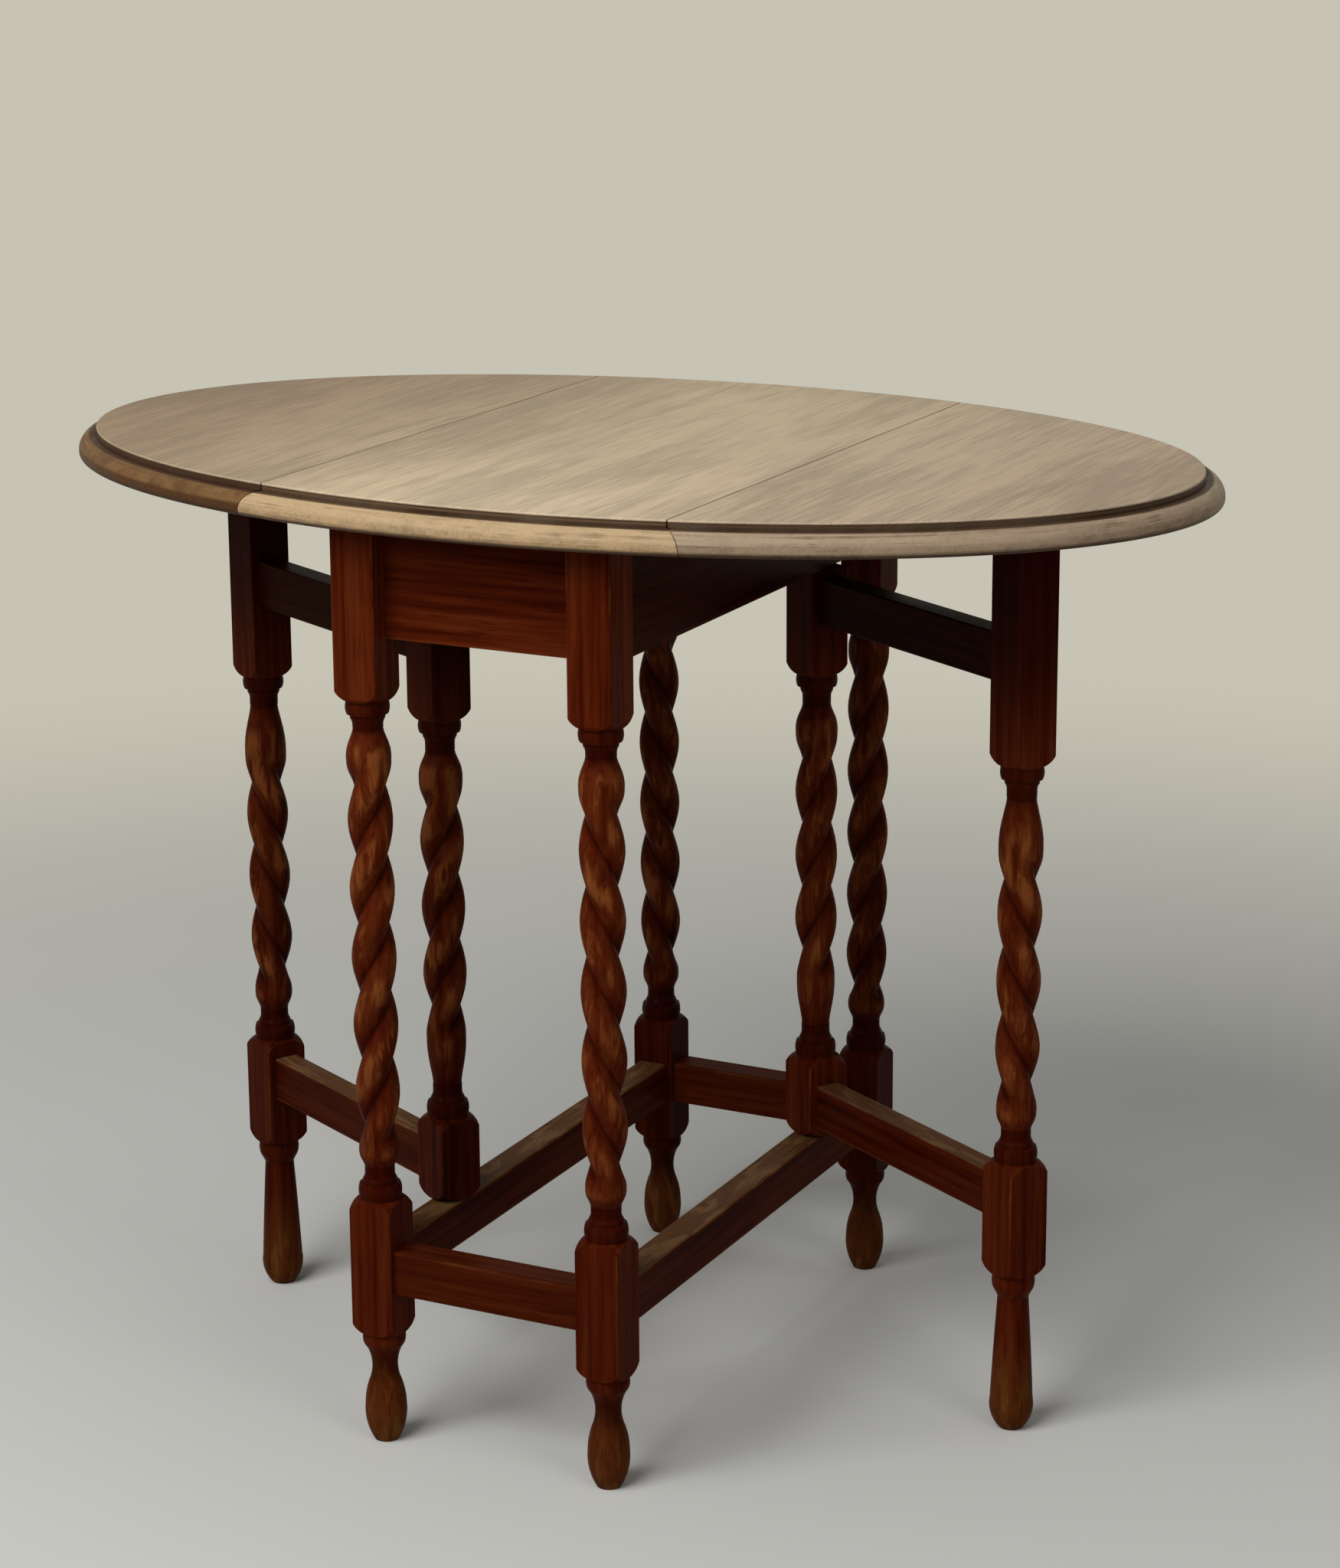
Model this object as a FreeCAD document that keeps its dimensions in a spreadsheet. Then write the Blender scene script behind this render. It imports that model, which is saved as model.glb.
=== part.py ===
import FreeCAD, Part
import functools
import math
import os

import Sketcher

# Driving sizes in millimetres, angles in degrees
SIZES = {
    # Top
    "table_height": 720.0,
    "top_length": 896.0,
    "top_width": 578.0,
    "top_thickness": 22.6,
    "rim_step": 5.6,
    "rim_width": 14.0,
    "rim_round_upper": 12.0,
    "rim_round_lower": 4.0,
    "field_ease": 0.8,
    # Rule joints between the centre panel and the leaves
    "rule_line": 157.5,
    "rule_pin_height": 3.5,
    "rule_gap_fillet": 1.2,
    "rule_gap_round": 0.6,
    # Frame
    "leg_square": 34.2,
    "leg_corner_ease": 0.5,
    "leg_spread_across": 186.0,
    "top_overhang": 42.9,
    "apron_height": 86.4,
    "end_apron_thickness": 16.0,
    "end_apron_setback": 17.1,
    "side_apron_thickness": 20.0,
    "stretcher_level": 120.5,
    "stretcher_height": 34.0,
    "stretcher_width": 25.0,
    "stretcher_easing": 2.5,
    # Mortise and tenon joints
    "tenon_thickness": 8.0,
    "tenon_shoulder": 5.0,
    "tenon_wall": 1.0,
    "joint_clearance": 0.1,
    # Turned work shared by legs and posts
    "shoulder_height": 8.0,
    "ring_height": 9.5,
    "ring_height_lower": 11.0,
    "ring_radius": 16.0,
    "ring_root": 15.1,
    "ring_fall": 0.8,
    "fillet_height": 2.6,
    "cove_height": 5.0,
    "cove_radius": 12.6,
    "neck_radius": 11.0,
    "neck_step": 0.4,
    "core_radius": 7.5,
    "twist_radius": 16.2,
    "twist_radius_lower": 14.8,
    "twist_offset": 5.0,
    "twist_bury": 12.0,
    "twist_half_lead": 51.1,
    "twist_sight_angle": -60.0,
    "twist_gate_angle": -34.0,
    # Corner legs
    "leg_foot_height": 85.7,
    "leg_lower_block": 89.6,
    "leg_upper_block": 124.1,
    "leg_neck_upper": 2.0,
    "leg_neck_lower": 4.3,
    "leg_bulb_upper": 20.7,
    "leg_bulb_lower": 12.2,
    "leg_pinch": 43.2,
    "foot_flat": 9.0,
    "foot_radius": 15.4,
    "foot_widest": 28.0,
    "foot_rise": 46.0,
    "foot_rise_radius": 12.3,
    "foot_neck_level": 59.0,
    "foot_neck_radius": 9.5,
    # Gate legs
    "gate_foot_height": 122.8,
    "gate_lower_block": 72.7,
    "gate_upper_block": 179.0,
    "gate_neck_upper": 5.1,
    "gate_neck_lower": 4.6,
    "gate_bulb_upper": 35.6,
    "gate_bulb_lower": 12.5,
    "gate_pinch": 62.6,
    "gate_foot_radius": 16.0,
    "gate_foot_widest": 24.0,
    "gate_foot_neck": 11.5,
    "gate_foot_neck_level": 105.0,
    "gate_leaf_gap": 0.3,
    # Gate posts
    "post_upper_block": 75.8,
    "post_lower_block": 48.5,
    "post_neck_upper": 5.6,
    "post_neck_lower": 5.4,
    "post_bulb_upper": 19.0,
    "post_bulb_lower": 34.0,
    "post_pinch": 44.0,
    "post_end_gap": 0.4,
    # Gates
    "gate_axis_offset": 3.0,
    "gate_axis_along": 123.0,
    "gate_reach": 256.5,
    "gate_left_angle": 152.6,
    "gate_right_angle": -30.8,
    "rail_thickness": 20.0,
    "rail_easing": 1.5,
    "lower_rail_level": 163.0,
    "lower_rail_height": 35.0,
    "upper_rail_drop": 6.0,
    "upper_rail_height": 36.0,
    "pivot_diameter": 10.0,
    "pivot_depth": 26.0,
    "pivot_clearance": 0.08,
    # Rule joint hinges
    "hinge_spread": 170.0,
    "hinge_length": 54.0,
    "hinge_thickness": 1.8,
    "hinge_fixed_reach": 30.0,
    "hinge_leaf_reach": 46.0,
    "hinge_knuckle_radius": 3.0,
    "hinge_pin_diameter": 3.0,
    "hinge_pin_clearance": 0.05,
    "hinge_knuckle_gap": 0.4,
    "hinge_notch": 5.0,
    "hinge_let_in": 0.2,
    # Screws
    "screw_diameter": 3.0,
    "screw_head_diameter": 6.0,
    "screw_tip": 3.0,
    "screw_point": 0.3,
    "screw_slot_width": 0.9,
    "screw_slot_depth": 1.0,
    "screw_clearance": 0.05,
    "hinge_screw_length": 14.0,
    "hinge_screw_inset": 7.0,
    "hinge_screw_near": 12.0,
    "hinge_screw_near_leaf": 24.0,
    "block_screw_bite": 14.0,
    # Fixing blocks under the centre panel and stops under the leaves
    "fixing_block_width": 20.0,
    "fixing_block_length": 70.0,
    "fixing_block_along": 120.0,
    "fixing_screw_inset": 15.0,
    "stop_block_width": 18.0,
    "stop_block_length": 44.0,
    "stop_block_height": 14.0,
    "stop_gap": 0.3,
    "stop_screw_inset": 11.0,
}

SHEET_NAME = "Sizes"
SIGNS = (-1, 1)
SIDES = ((-1, "left"), (1, "right"))
ENDS = ((-1, "front"), (1, "back"))
VERTICAL = FreeCAD.Vector(0, 0, 1)
SQUARE_CORNER = math.sqrt(0.5)
CUT_MARGIN = 5.0
ROUGH_VOLUME = 1.0
FLAT = 0.01
SLOT_TURN = 67.0

# Rows of points in half a turn of a twist and points across a strand, how the ends of the twist
# swell and how fast its grooves fade in
TWIST_STEPS = 10
STRAND_STEPS = 12
TWIST_SWELL_POWER = 1.4
TWIST_FADE_UPPER = 0.85
TWIST_FADE_LOWER = 0.30

# Where the curves of the turned work bend, as shares of their height and of their depth
SHOULDER_BEND_HEIGHT = 0.50
SHOULDER_BEND_DEPTH = 0.70
COVE_BEND_HEIGHT = 0.42
COVE_BEND_DEPTH = 0.30
FOOT_SWELL_HEIGHT = 0.40
FOOT_SWELL_DEPTH = 0.25
FOOT_FALL_HEIGHT = 0.55
FOOT_FALL_DEPTH = 0.32
FOOT_COVE_HEIGHT = 0.76
FOOT_RING_HEIGHT = 0.94
GATE_SWELL_HEIGHT = 0.32
GATE_SWELL_DEPTH = 0.27
GATE_TAPER_HEIGHT = 0.52
GATE_TAPER_DEPTH = 0.56

doc = FreeCAD.newDocument("gate_leg_table")
sheet = doc.addObject("Spreadsheet::Sheet", SHEET_NAME)
for row, (name, value) in enumerate(SIZES.items(), start=1):
    sheet.set(f"A{row}", name)
    sheet.set(f"B{row}", str(value))
    sheet.setAlias(f"B{row}", name)
doc.recompute()


class Dim:
    """A size that holds its number and the sheet expression that gives it."""

    def __init__(self, text, value):
        self.text = text
        self.value = value

    def __add__(self, other):
        other = as_dim(other)
        return Dim(f"({self.text} + {other.text})", self.value + other.value)

    def __radd__(self, other):
        return as_dim(other) + self

    def __sub__(self, other):
        other = as_dim(other)
        return Dim(f"({self.text} - {other.text})", self.value - other.value)

    def __rsub__(self, other):
        return as_dim(other) - self

    def __mul__(self, other):
        other = as_dim(other)
        return Dim(f"({self.text} * {other.text})", self.value * other.value)

    def __rmul__(self, other):
        return as_dim(other) * self

    def __truediv__(self, other):
        other = as_dim(other)
        return Dim(f"({self.text} / {other.text})", self.value / other.value)

    def __neg__(self):
        return 0 - self


def as_dim(item):
    """A plain number or a size, as a size."""
    if isinstance(item, Dim):
        return item
    return Dim(repr(float(item)), float(item))


class Sheet:
    """The sheet's sizes as attributes."""

    def __getattr__(self, name):
        return Dim(f"{SHEET_NAME}.{name}", float(sheet.get(name)))


S = Sheet()
ZERO = as_dim(0)


def cosine(angle):
    """The cosine of an angle in degrees."""
    return Dim(f"cos({angle.text} * 1 deg)", math.cos(math.radians(angle.value)))


def sine(angle):
    """The sine of an angle in degrees."""
    return Dim(f"sin({angle.text} * 1 deg)", math.sin(math.radians(angle.value)))


# Levels and places that several pieces share
underside = S.table_height - S.top_thickness
half_square = S.leg_square / 2
corner_radius = S.leg_square * SQUARE_CORNER - S.leg_corner_ease
shoulder_bend = S.ring_root + (corner_radius - S.ring_root) * SHOULDER_BEND_DEPTH
leg_x = S.leg_spread_across / 2
leg_y = S.top_width / 2 - S.top_overhang - half_square
apron_level = underside - S.apron_height
stretcher_top = S.stretcher_level + S.stretcher_height
pin_level = underside + S.rule_pin_height
rule_radius = S.top_thickness - S.rim_step - S.rule_pin_height
gate_x = leg_x + S.gate_axis_offset
frame_tenon = half_square - S.tenon_thickness / 2 - S.tenon_wall
rail_tenon = half_square - S.pivot_diameter / 2 - S.tenon_wall
post_bottom = stretcher_top + S.post_end_gap
post_top = apron_level - S.post_end_gap
gate_leg_top = underside - S.gate_leaf_gap
upper_rail_level = apron_level - S.upper_rail_drop - S.upper_rail_height

nodes = []
cuts = []


def bind(item, prop, dim):
    """Ties a property to a size."""
    item.setExpression(prop, dim.text)


def keep(item, label):
    """Takes an object as a finished piece of the table."""
    item.Label = label
    nodes.append(item)
    return item


def place(item, x, y, z, angle=0.0):
    """Puts an object at a place, turned about the vertical."""
    item.Placement = FreeCAD.Placement(FreeCAD.Vector(), FreeCAD.Rotation(VERTICAL, angle))
    for axis, dim in zip("xyz", (x, y, z)):
        bind(item, f"Placement.Base.{axis}", as_dim(dim))


# Solids from primitives and booleans
def box(name, x, y, z):
    """A box between pairs of low and high sizes."""
    item = doc.addObject("Part::Box", name)
    for prop, axis, (low, high) in zip(("Length", "Width", "Height"), "xyz", (x, y, z)):
        bind(item, prop, high - low)
        bind(item, f"Placement.Base.{axis}", as_dim(low))
    return item


def rod(name, axis, x, y, z, radius, length):
    """A cylinder from a point along +Y or +Z."""
    item = doc.addObject("Part::Cylinder", name)
    bind(item, "Radius", radius)
    bind(item, "Height", length)
    if axis == "y":
        item.Placement = FreeCAD.Placement(FreeCAD.Vector(), FreeCAD.Rotation(FreeCAD.Vector(1, 0, 0), -90))
    for key, dim in zip("xyz", (x, y, z)):
        bind(item, f"Placement.Base.{key}", as_dim(dim))
    return item


def fuse(name, parts):
    """One solid from several that overlap."""
    item = doc.addObject("Part::MultiFuse", name)
    item.Shapes = parts
    return item


def cut(name, base, tools):
    """A solid with other solids taken out of it."""
    item = doc.addObject("Part::Cut", name)
    item.Base = base
    item.Tool = tools[0] if len(tools) == 1 else fuse(f"{name}_tools", tools)
    cuts.append((item, base))
    return item


def across(sign, low, high):
    """A pair of distances from the middle, on the left or the right side."""
    if sign > 0:
        return (low, high)
    return (-high, -low)


# Sketches and features of a body
def new_sketch(body, name, role, offset):
    """A sketch on one of the body's own planes, moved in that plane's axes."""
    sketch = body.newObject("Sketcher::SketchObject", name)
    plane = next(item for item in body.Origin.OriginFeatures if item.Role == role)
    sketch.AttachmentSupport = [(plane, "")]
    sketch.MapMode = "FlatFace"
    for axis, dim in zip("xyz", offset):
        bind(sketch, f"AttachmentOffset.Base.{axis}", as_dim(dim))
    return sketch


def constrain(sketch, rules):
    """Adds constraints and ties those that have a size to it."""
    first = sketch.ConstraintCount
    sketch.addConstraint([rule for rule, dim in rules])
    for index, (rule, dim) in enumerate(rules, start=first):
        if dim is not None:
            bind(sketch, f"Constraints[{index}]", dim)


def draw_rectangle(sketch, width, height):
    """A rectangle about the sketch's origin."""
    first = sketch.GeometryCount
    half_w = width.value / 2
    half_h = height.value / 2
    corners = [(-half_w, -half_h), (half_w, -half_h), (half_w, half_h), (-half_w, half_h)]
    for start, end in zip(corners, corners[1:] + corners[:1]):
        sketch.addGeometry(Part.LineSegment(FreeCAD.Vector(*start), FreeCAD.Vector(*end)))
    bottom, right, top, left = range(first, first + 4)
    rules = []
    for line, following in ((bottom, right), (right, top), (top, left), (left, bottom)):
        rules.append((Sketcher.Constraint("Coincident", line, 2, following, 1), None))
    for line in (bottom, top):
        rules.append((Sketcher.Constraint("Horizontal", line), None))
    for line in (right, left):
        rules.append((Sketcher.Constraint("Vertical", line), None))
    rules.append((Sketcher.Constraint("Symmetric", bottom, 1, top, 1, -1, 1), None))
    rules.append((Sketcher.Constraint("DistanceX", bottom, 1, bottom, 2, width.value), width))
    rules.append((Sketcher.Constraint("DistanceY", right, 1, right, 2, height.value), height))
    constrain(sketch, rules)


def draw_circle(sketch, radius):
    """A circle about the sketch's origin."""
    circle = Part.Circle(FreeCAD.Vector(), VERTICAL, radius.value)
    index = sketch.addGeometry(circle)
    constrain(sketch, [
        (Sketcher.Constraint("Coincident", index, 3, -1, 1), None),
        (Sketcher.Constraint("Radius", index, radius.value), radius),
    ])


def draw_oval(sketch, half_long, half_short, cut_lines):
    """An ellipse about the sketch's origin, its long axis level, cut off by upright lines.

    The lines go from left to right. One line to the right of the middle keeps the right end, one to
    the left of it keeps the left end, and two keep what is between them.
    """
    turns = [math.acos(line.value / half_long.value) for line in cut_lines]
    if len(cut_lines) == 2:
        spans = [(turns[1], turns[0]), (2 * math.pi - turns[0], 2 * math.pi - turns[1])]
    elif cut_lines[0].value > 0:
        spans = [(-turns[0], turns[0])]
    else:
        spans = [(turns[0], 2 * math.pi - turns[0])]
    long_tip = FreeCAD.Vector(half_long.value, 0)
    short_tip = FreeCAD.Vector(0, half_short.value)
    whole = Part.Ellipse(long_tip, short_tip, FreeCAD.Vector())
    rules = []
    arcs = []
    for span in spans:
        arc = sketch.addGeometry(Part.ArcOfEllipse(whole, *span))
        sketch.exposeInternalGeometry(arc)
        long_axis = arc + 1
        short_axis = arc + 2
        rules += [
            (Sketcher.Constraint("Coincident", arc, 3, -1, 1), None),
            (Sketcher.Constraint("Horizontal", long_axis), None),
            (Sketcher.Constraint("Distance", long_axis, 2 * half_long.value), half_long * 2),
            (Sketcher.Constraint("Distance", short_axis, 2 * half_short.value), half_short * 2),
        ]
        arcs.append((arc, whole.value(span[0]), whole.value(span[1])))
    for (arc, _, last), (following, start, _) in zip(arcs, arcs[1:] + arcs[:1]):
        line = sketch.addGeometry(Part.LineSegment(last, start))
        offset = cut_lines[0] if last.x < 0 else cut_lines[-1]
        rules.append((Sketcher.Constraint("Coincident", arc, 2, line, 1), None))
        rules.append((Sketcher.Constraint("Coincident", line, 2, following, 1), None))
        rules.append((Sketcher.Constraint("Vertical", line), None))
        if offset.value > 0:
            rules.append((Sketcher.Constraint("DistanceX", -1, 1, line, 1, offset.value), offset))
        else:
            rules.append((Sketcher.Constraint("DistanceX", line, 1, -1, 1, -offset.value), -offset))
    constrain(sketch, rules)


def point_rules(index, end, radius, level):
    """Constraints that hold a point of a turned outline at a radius and a level."""
    rules = []
    for kind, dim, own_axis in (("DistanceX", radius, -2), ("DistanceY", level, -1)):
        if dim.value == 0:
            rules.append((Sketcher.Constraint("PointOnObject", index, end, own_axis), None))
        else:
            rules.append((Sketcher.Constraint(kind, -1, 1, index, end, dim.value), dim))
    return rules


def draw_arc(sketch, start, middle, end):
    """An arc through three points, with the ends' numbers in drawing order."""
    first, through, last = (FreeCAD.Vector(r.value, z.value) for r, z in (start, middle, end))
    whole = Part.Circle(first, through, last)
    centre = whole.Center
    to_left = (through - first).cross(last - through).z > 0
    low, high = (first, last) if to_left else (last, first)
    low_angle = math.atan2(low.y - centre.y, low.x - centre.x)
    high_angle = math.atan2(high.y - centre.y, high.x - centre.x)
    if high_angle < low_angle:
        high_angle += 2 * math.pi
    circle = Part.Circle(centre, VERTICAL, whole.Radius)
    index = sketch.addGeometry(Part.ArcOfCircle(circle, low_angle, high_angle))
    helper = sketch.addGeometry(Part.Point(through), True)
    rules = [(Sketcher.Constraint("PointOnObject", helper, 1, index), None)]
    rules += point_rules(helper, 1, *middle)
    return index, (1, 2) if to_left else (2, 1), rules


def turn_body(body, name, outline):
    """Turns an outline of radius and level about the vertical axis.

    A step of two sizes is a line to that point. A step of four is an arc through the first pair.
    """
    sketch = new_sketch(body, f"{name}_outline", "XZ_Plane", (ZERO, ZERO, ZERO))
    rules = []
    pieces = []
    here = outline[0]
    for step in outline[1:] + outline[:1]:
        there = step[-2:]
        if len(step) == 4:
            index, ends, arc_rules = draw_arc(sketch, here, step[:2], there)
            rules += arc_rules
        else:
            start = FreeCAD.Vector(here[0].value, here[1].value)
            end = FreeCAD.Vector(there[0].value, there[1].value)
            index = sketch.addGeometry(Part.LineSegment(start, end))
            ends = (1, 2)
        pieces.append((index, ends))
        rules += point_rules(index, ends[0], *here)
        here = there
    for (index, ends), (following, following_ends) in zip(pieces, pieces[1:] + pieces[:1]):
        meeting = Sketcher.Constraint("Coincident", index, ends[1], following, following_ends[0])
        rules.append((meeting, None))
    constrain(sketch, rules)
    turning = body.newObject("PartDesign::Revolution", name)
    turning.Profile = sketch
    turning.ReferenceAxis = (sketch, ["V_Axis"])
    turning.Angle = 360.0
    return turning


def pocket(body, name, sketch, depth, flip=False):
    """Cuts a sketch into the body, against the sketch's own direction unless flipped."""
    before = body.Tip
    item = body.newObject("PartDesign::Pocket", name)
    item.Profile = sketch
    item.Reversed = flip
    bind(item, "Length", depth)
    cuts.append((item, before))
    return item


def pad(body, name, sketch, length, middle=False):
    """Raises a sketch into a solid, to one side or evenly about its plane."""
    item = body.newObject("PartDesign::Pad", name)
    item.Profile = sketch
    item.Midplane = middle
    bind(item, "Length", length)
    return item


def square_off(body, name, top, length):
    """Cuts four flats on a turned zone, so that it is a square block with turned shoulders."""
    sketch = new_sketch(body, f"{name}_flats", "XY_Plane", (ZERO, ZERO, top))
    draw_circle(sketch, corner_radius + CUT_MARGIN)
    draw_rectangle(sketch, S.leg_square, S.leg_square)
    return pocket(body, name, sketch, length)


def mortise(body, name, face, sideways, level, height, depth):
    """Cuts a slot for a tenon into one face of a square block.

    The face is +x, -x, +y or -y. Sideways is the slot's distance from the block's axis.
    """
    clearance = S.joint_clearance
    outward = half_square if face[0] == "+" else -half_square
    if face[1] == "x":
        role = "YZ_Plane"
        offset = (sideways, level, outward)
        flip = face[0] == "-"
    else:
        role = "XZ_Plane"
        offset = (sideways, level, -outward)
        flip = face[0] == "+"
    sketch = new_sketch(body, f"{name}_slot", role, offset)
    draw_rectangle(sketch, S.tenon_thickness + clearance * 2, height + clearance * 2)
    return pocket(body, name, sketch, depth + clearance, flip)


# Turned legs and posts
def collar(level, direction, ring_height):
    """Outline from a block's end over its shoulder, ring, fillet and cove to the neck."""
    def at(height):
        return level + height * direction
    ring_start = S.shoulder_height
    ring_end = ring_start + ring_height
    ring_middle = ring_start + ring_height / 2
    fillet_start = ring_end + S.ring_fall
    cove_start = fillet_start + S.fillet_height
    cove_end = cove_start + S.cove_height
    shoulder_middle = S.shoulder_height * SHOULDER_BEND_HEIGHT
    cove_middle = cove_start + S.cove_height * COVE_BEND_HEIGHT
    cove_bend = S.neck_radius + (S.cove_radius - S.neck_radius) * COVE_BEND_DEPTH
    points = [
        (corner_radius, at(ZERO)),
        (shoulder_bend, at(shoulder_middle), S.ring_root, at(ring_start)),
        (S.ring_radius, at(ring_middle), S.ring_root, at(ring_end)),
        (S.cove_radius, at(fillet_start)),
        (S.cove_radius, at(cove_start)),
        (cove_bend, at(cove_middle), S.neck_radius, at(cove_end)),
    ]
    return points, cove_end


def foot_shoulder(level):
    """Outline of the shoulder that rises from a foot to the block above it."""
    middle = level + S.shoulder_height * (1 - SHOULDER_BEND_HEIGHT)
    return (shoulder_bend, middle, corner_radius, level + S.shoulder_height)


def backwards(points):
    """The same outline drawn from its other end."""
    turned = [points[-1][-2:]]
    for here, before in zip(points[::-1], points[-2::-1]):
        end = before[-2:]
        turned.append(here[:2] + end if len(here) == 4 else end)
    return turned


def shaft_outline(lower_block_top, lower_neck, upper_block_bottom, upper_neck):
    """Outline between two blocks: a collar at each end and a core through the twist."""
    rising, rise = collar(lower_block_top, 1, S.ring_height_lower)
    falling, fall = collar(upper_block_bottom, -1, S.ring_height)
    low_end = lower_block_top + rise + lower_neck
    high_end = upper_block_bottom - fall - upper_neck
    middle = [
        (S.neck_radius, low_end),
        (S.core_radius, low_end),
        (S.core_radius, high_end),
        (S.neck_radius, high_end),
    ]
    return rising + middle + backwards(falling), low_end, high_end


def strand_point(level, turn, offset, strand, bearing):
    """A point on a round strand whose middle is offset from the axis in the direction of turn."""
    x = offset + strand * math.cos(bearing)
    y = strand * math.sin(bearing)
    across_axis = FreeCAD.Vector(math.cos(turn), math.sin(turn))
    along_axis = FreeCAD.Vector(-math.sin(turn), math.cos(turn))
    return across_axis * x + along_axis * y + VERTICAL * level


def strand_row(level, turn, offset, strand):
    """Points across the outside of a round strand, from one waist line to the other."""
    waist = math.acos(-offset / strand)
    bearings = [waist * (2 * step / STRAND_STEPS - 1) for step in range(STRAND_STEPS + 1)]
    return [strand_point(level, turn, offset, strand, bearing) for bearing in bearings]


def skin(rows):
    """A smooth face through rows of points."""
    surface = Part.BSplineSurface()
    surface.interpolate(rows)
    return surface.toShape()


def close_ends(skins, levels):
    """A solid from faces that meet along their sides, with a flat face at each end level."""
    faces = list(skins)
    for level in levels:
        rims = [edge for face in skins for edge in face.Edges
                if edge.BoundBox.ZLength < FLAT and abs(edge.BoundBox.ZMin - level) < FLAT]
        faces.append(Part.Face(Part.Wire(Part.__sortEdges__(rims))))
    shell = Part.makeShell(faces)
    shell.sewShape()
    solid = Part.makeSolid(shell)
    if solid.Volume < 0:
        solid.reverse()
    return solid


def ease(share):
    """A smooth rise from 0 to 1."""
    share = min(1.0, max(0.0, share))
    return share * share * (3 - 2 * share)


@functools.lru_cache(maxsize=None)
def twist_shape(low_end, high_end, bulb_low, bulb_high, pinch_high, hand, sight):
    """Two round strands that turn about each other as they climb and run together at both ends."""
    half_lead = S.twist_half_lead.value
    widest = S.twist_radius.value
    widest_low = S.twist_radius_lower.value
    narrow = S.neck_radius.value - S.neck_step.value
    fade_high = TWIST_FADE_UPPER * (bulb_high - pinch_high)
    fade_low = TWIST_FADE_LOWER * half_lead
    start = low_end - S.twist_bury.value
    finish = high_end + S.twist_bury.value
    count = round(TWIST_STEPS * (finish - start) / half_lead)
    strands = ([], [])
    for index in range(count + 1):
        level = start + (finish - start) * index / count
        swell_low = (level - low_end) / (bulb_low - low_end)
        swell_high = (high_end - level) / (high_end - bulb_high)
        share = max(0.0, min(swell_low, swell_high, 1.0))
        swell = math.sin(math.pi / 2 * share) ** TWIST_SWELL_POWER
        width = widest_low + (widest - widest_low) * ease((level - bulb_low) / half_lead)
        reach = narrow + (width - narrow) * swell
        groove = ease((level - bulb_low) / fade_low) * ease((bulb_high - level) / fade_high)
        angle = math.radians(sight) + hand * math.pi * (level - pinch_high) / half_lead
        offset = S.twist_offset.value * groove
        for rows, turn in zip(strands, (angle, angle + math.pi)):
            rows.append(strand_row(level, turn, offset, reach - offset))
    return close_ends([skin(rows) for rows in strands], (start, finish))


def twist(name, low_end, high_end, lower_bulb, upper_bulb, upper_pinch, hand, sight):
    """The two-strand twist between two necks.

    Hand is 1 where the strands climb to the right. Seen from the sight angle, the shaft is at its
    narrowest at the upper pinch and at each half lead below it.
    """
    levels = (low_end, high_end, low_end + lower_bulb, high_end - upper_bulb, high_end - upper_pinch)
    item = doc.addObject("Part::Feature", name)
    item.Shape = twist_shape(*(dim.value for dim in levels), hand, sight.value).copy()
    return item


def leg_foot():
    """Outline of a corner leg's pear foot, from the floor to the lower block."""
    block = S.leg_foot_height
    ring_height = S.ring_height * FOOT_RING_HEIGHT
    ring_low = block - ring_height
    ring_middle = block - ring_height / 2
    cove_top = ring_low - S.cove_height * FOOT_COVE_HEIGHT
    swell = S.foot_radius - (S.foot_radius - S.foot_flat) * FOOT_SWELL_DEPTH
    swell_level = S.foot_widest * FOOT_SWELL_HEIGHT
    fall = S.foot_radius - (S.foot_radius - S.foot_rise_radius) * FOOT_FALL_DEPTH
    fall_level = S.foot_widest + (S.foot_rise - S.foot_widest) * FOOT_FALL_HEIGHT
    return [
        (ZERO, ZERO),
        (S.foot_flat, ZERO),
        (swell, swell_level, S.foot_radius, S.foot_widest),
        (fall, fall_level, S.foot_rise_radius, S.foot_rise),
        (S.foot_neck_radius, S.foot_neck_level, S.cove_radius, cove_top),
        (S.ring_root, ring_low),
        (S.ring_radius, ring_middle, S.ring_root, block),
        foot_shoulder(block),
    ]


def gate_foot():
    """Outline of a gate leg's long tapered foot, from the floor to the lower block."""
    block = S.gate_foot_height
    ring_low = block - S.ring_height_lower
    ring_middle = block - S.ring_height_lower / 2
    swell = S.gate_foot_radius - (S.gate_foot_radius - S.foot_flat) * GATE_SWELL_DEPTH
    swell_level = S.gate_foot_widest * GATE_SWELL_HEIGHT
    taper = S.gate_foot_neck + (S.gate_foot_radius - S.gate_foot_neck) * GATE_TAPER_DEPTH
    taper_level = S.gate_foot_neck_level + (S.gate_foot_widest - S.gate_foot_neck_level) * GATE_TAPER_HEIGHT
    return [
        (ZERO, ZERO),
        (S.foot_flat, ZERO),
        (swell, swell_level, S.gate_foot_radius, S.gate_foot_widest),
        (taper, taper_level, S.gate_foot_neck, S.gate_foot_neck_level),
        (S.ring_root, ring_low),
        (S.ring_radius, ring_middle, S.ring_root, block),
        foot_shoulder(block),
    ]


def post_foot():
    """Outline of a post's lower end, which turns on the stretcher."""
    return [
        (ZERO, post_bottom),
        (S.ring_root, post_bottom),
        foot_shoulder(post_bottom),
    ]


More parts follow.
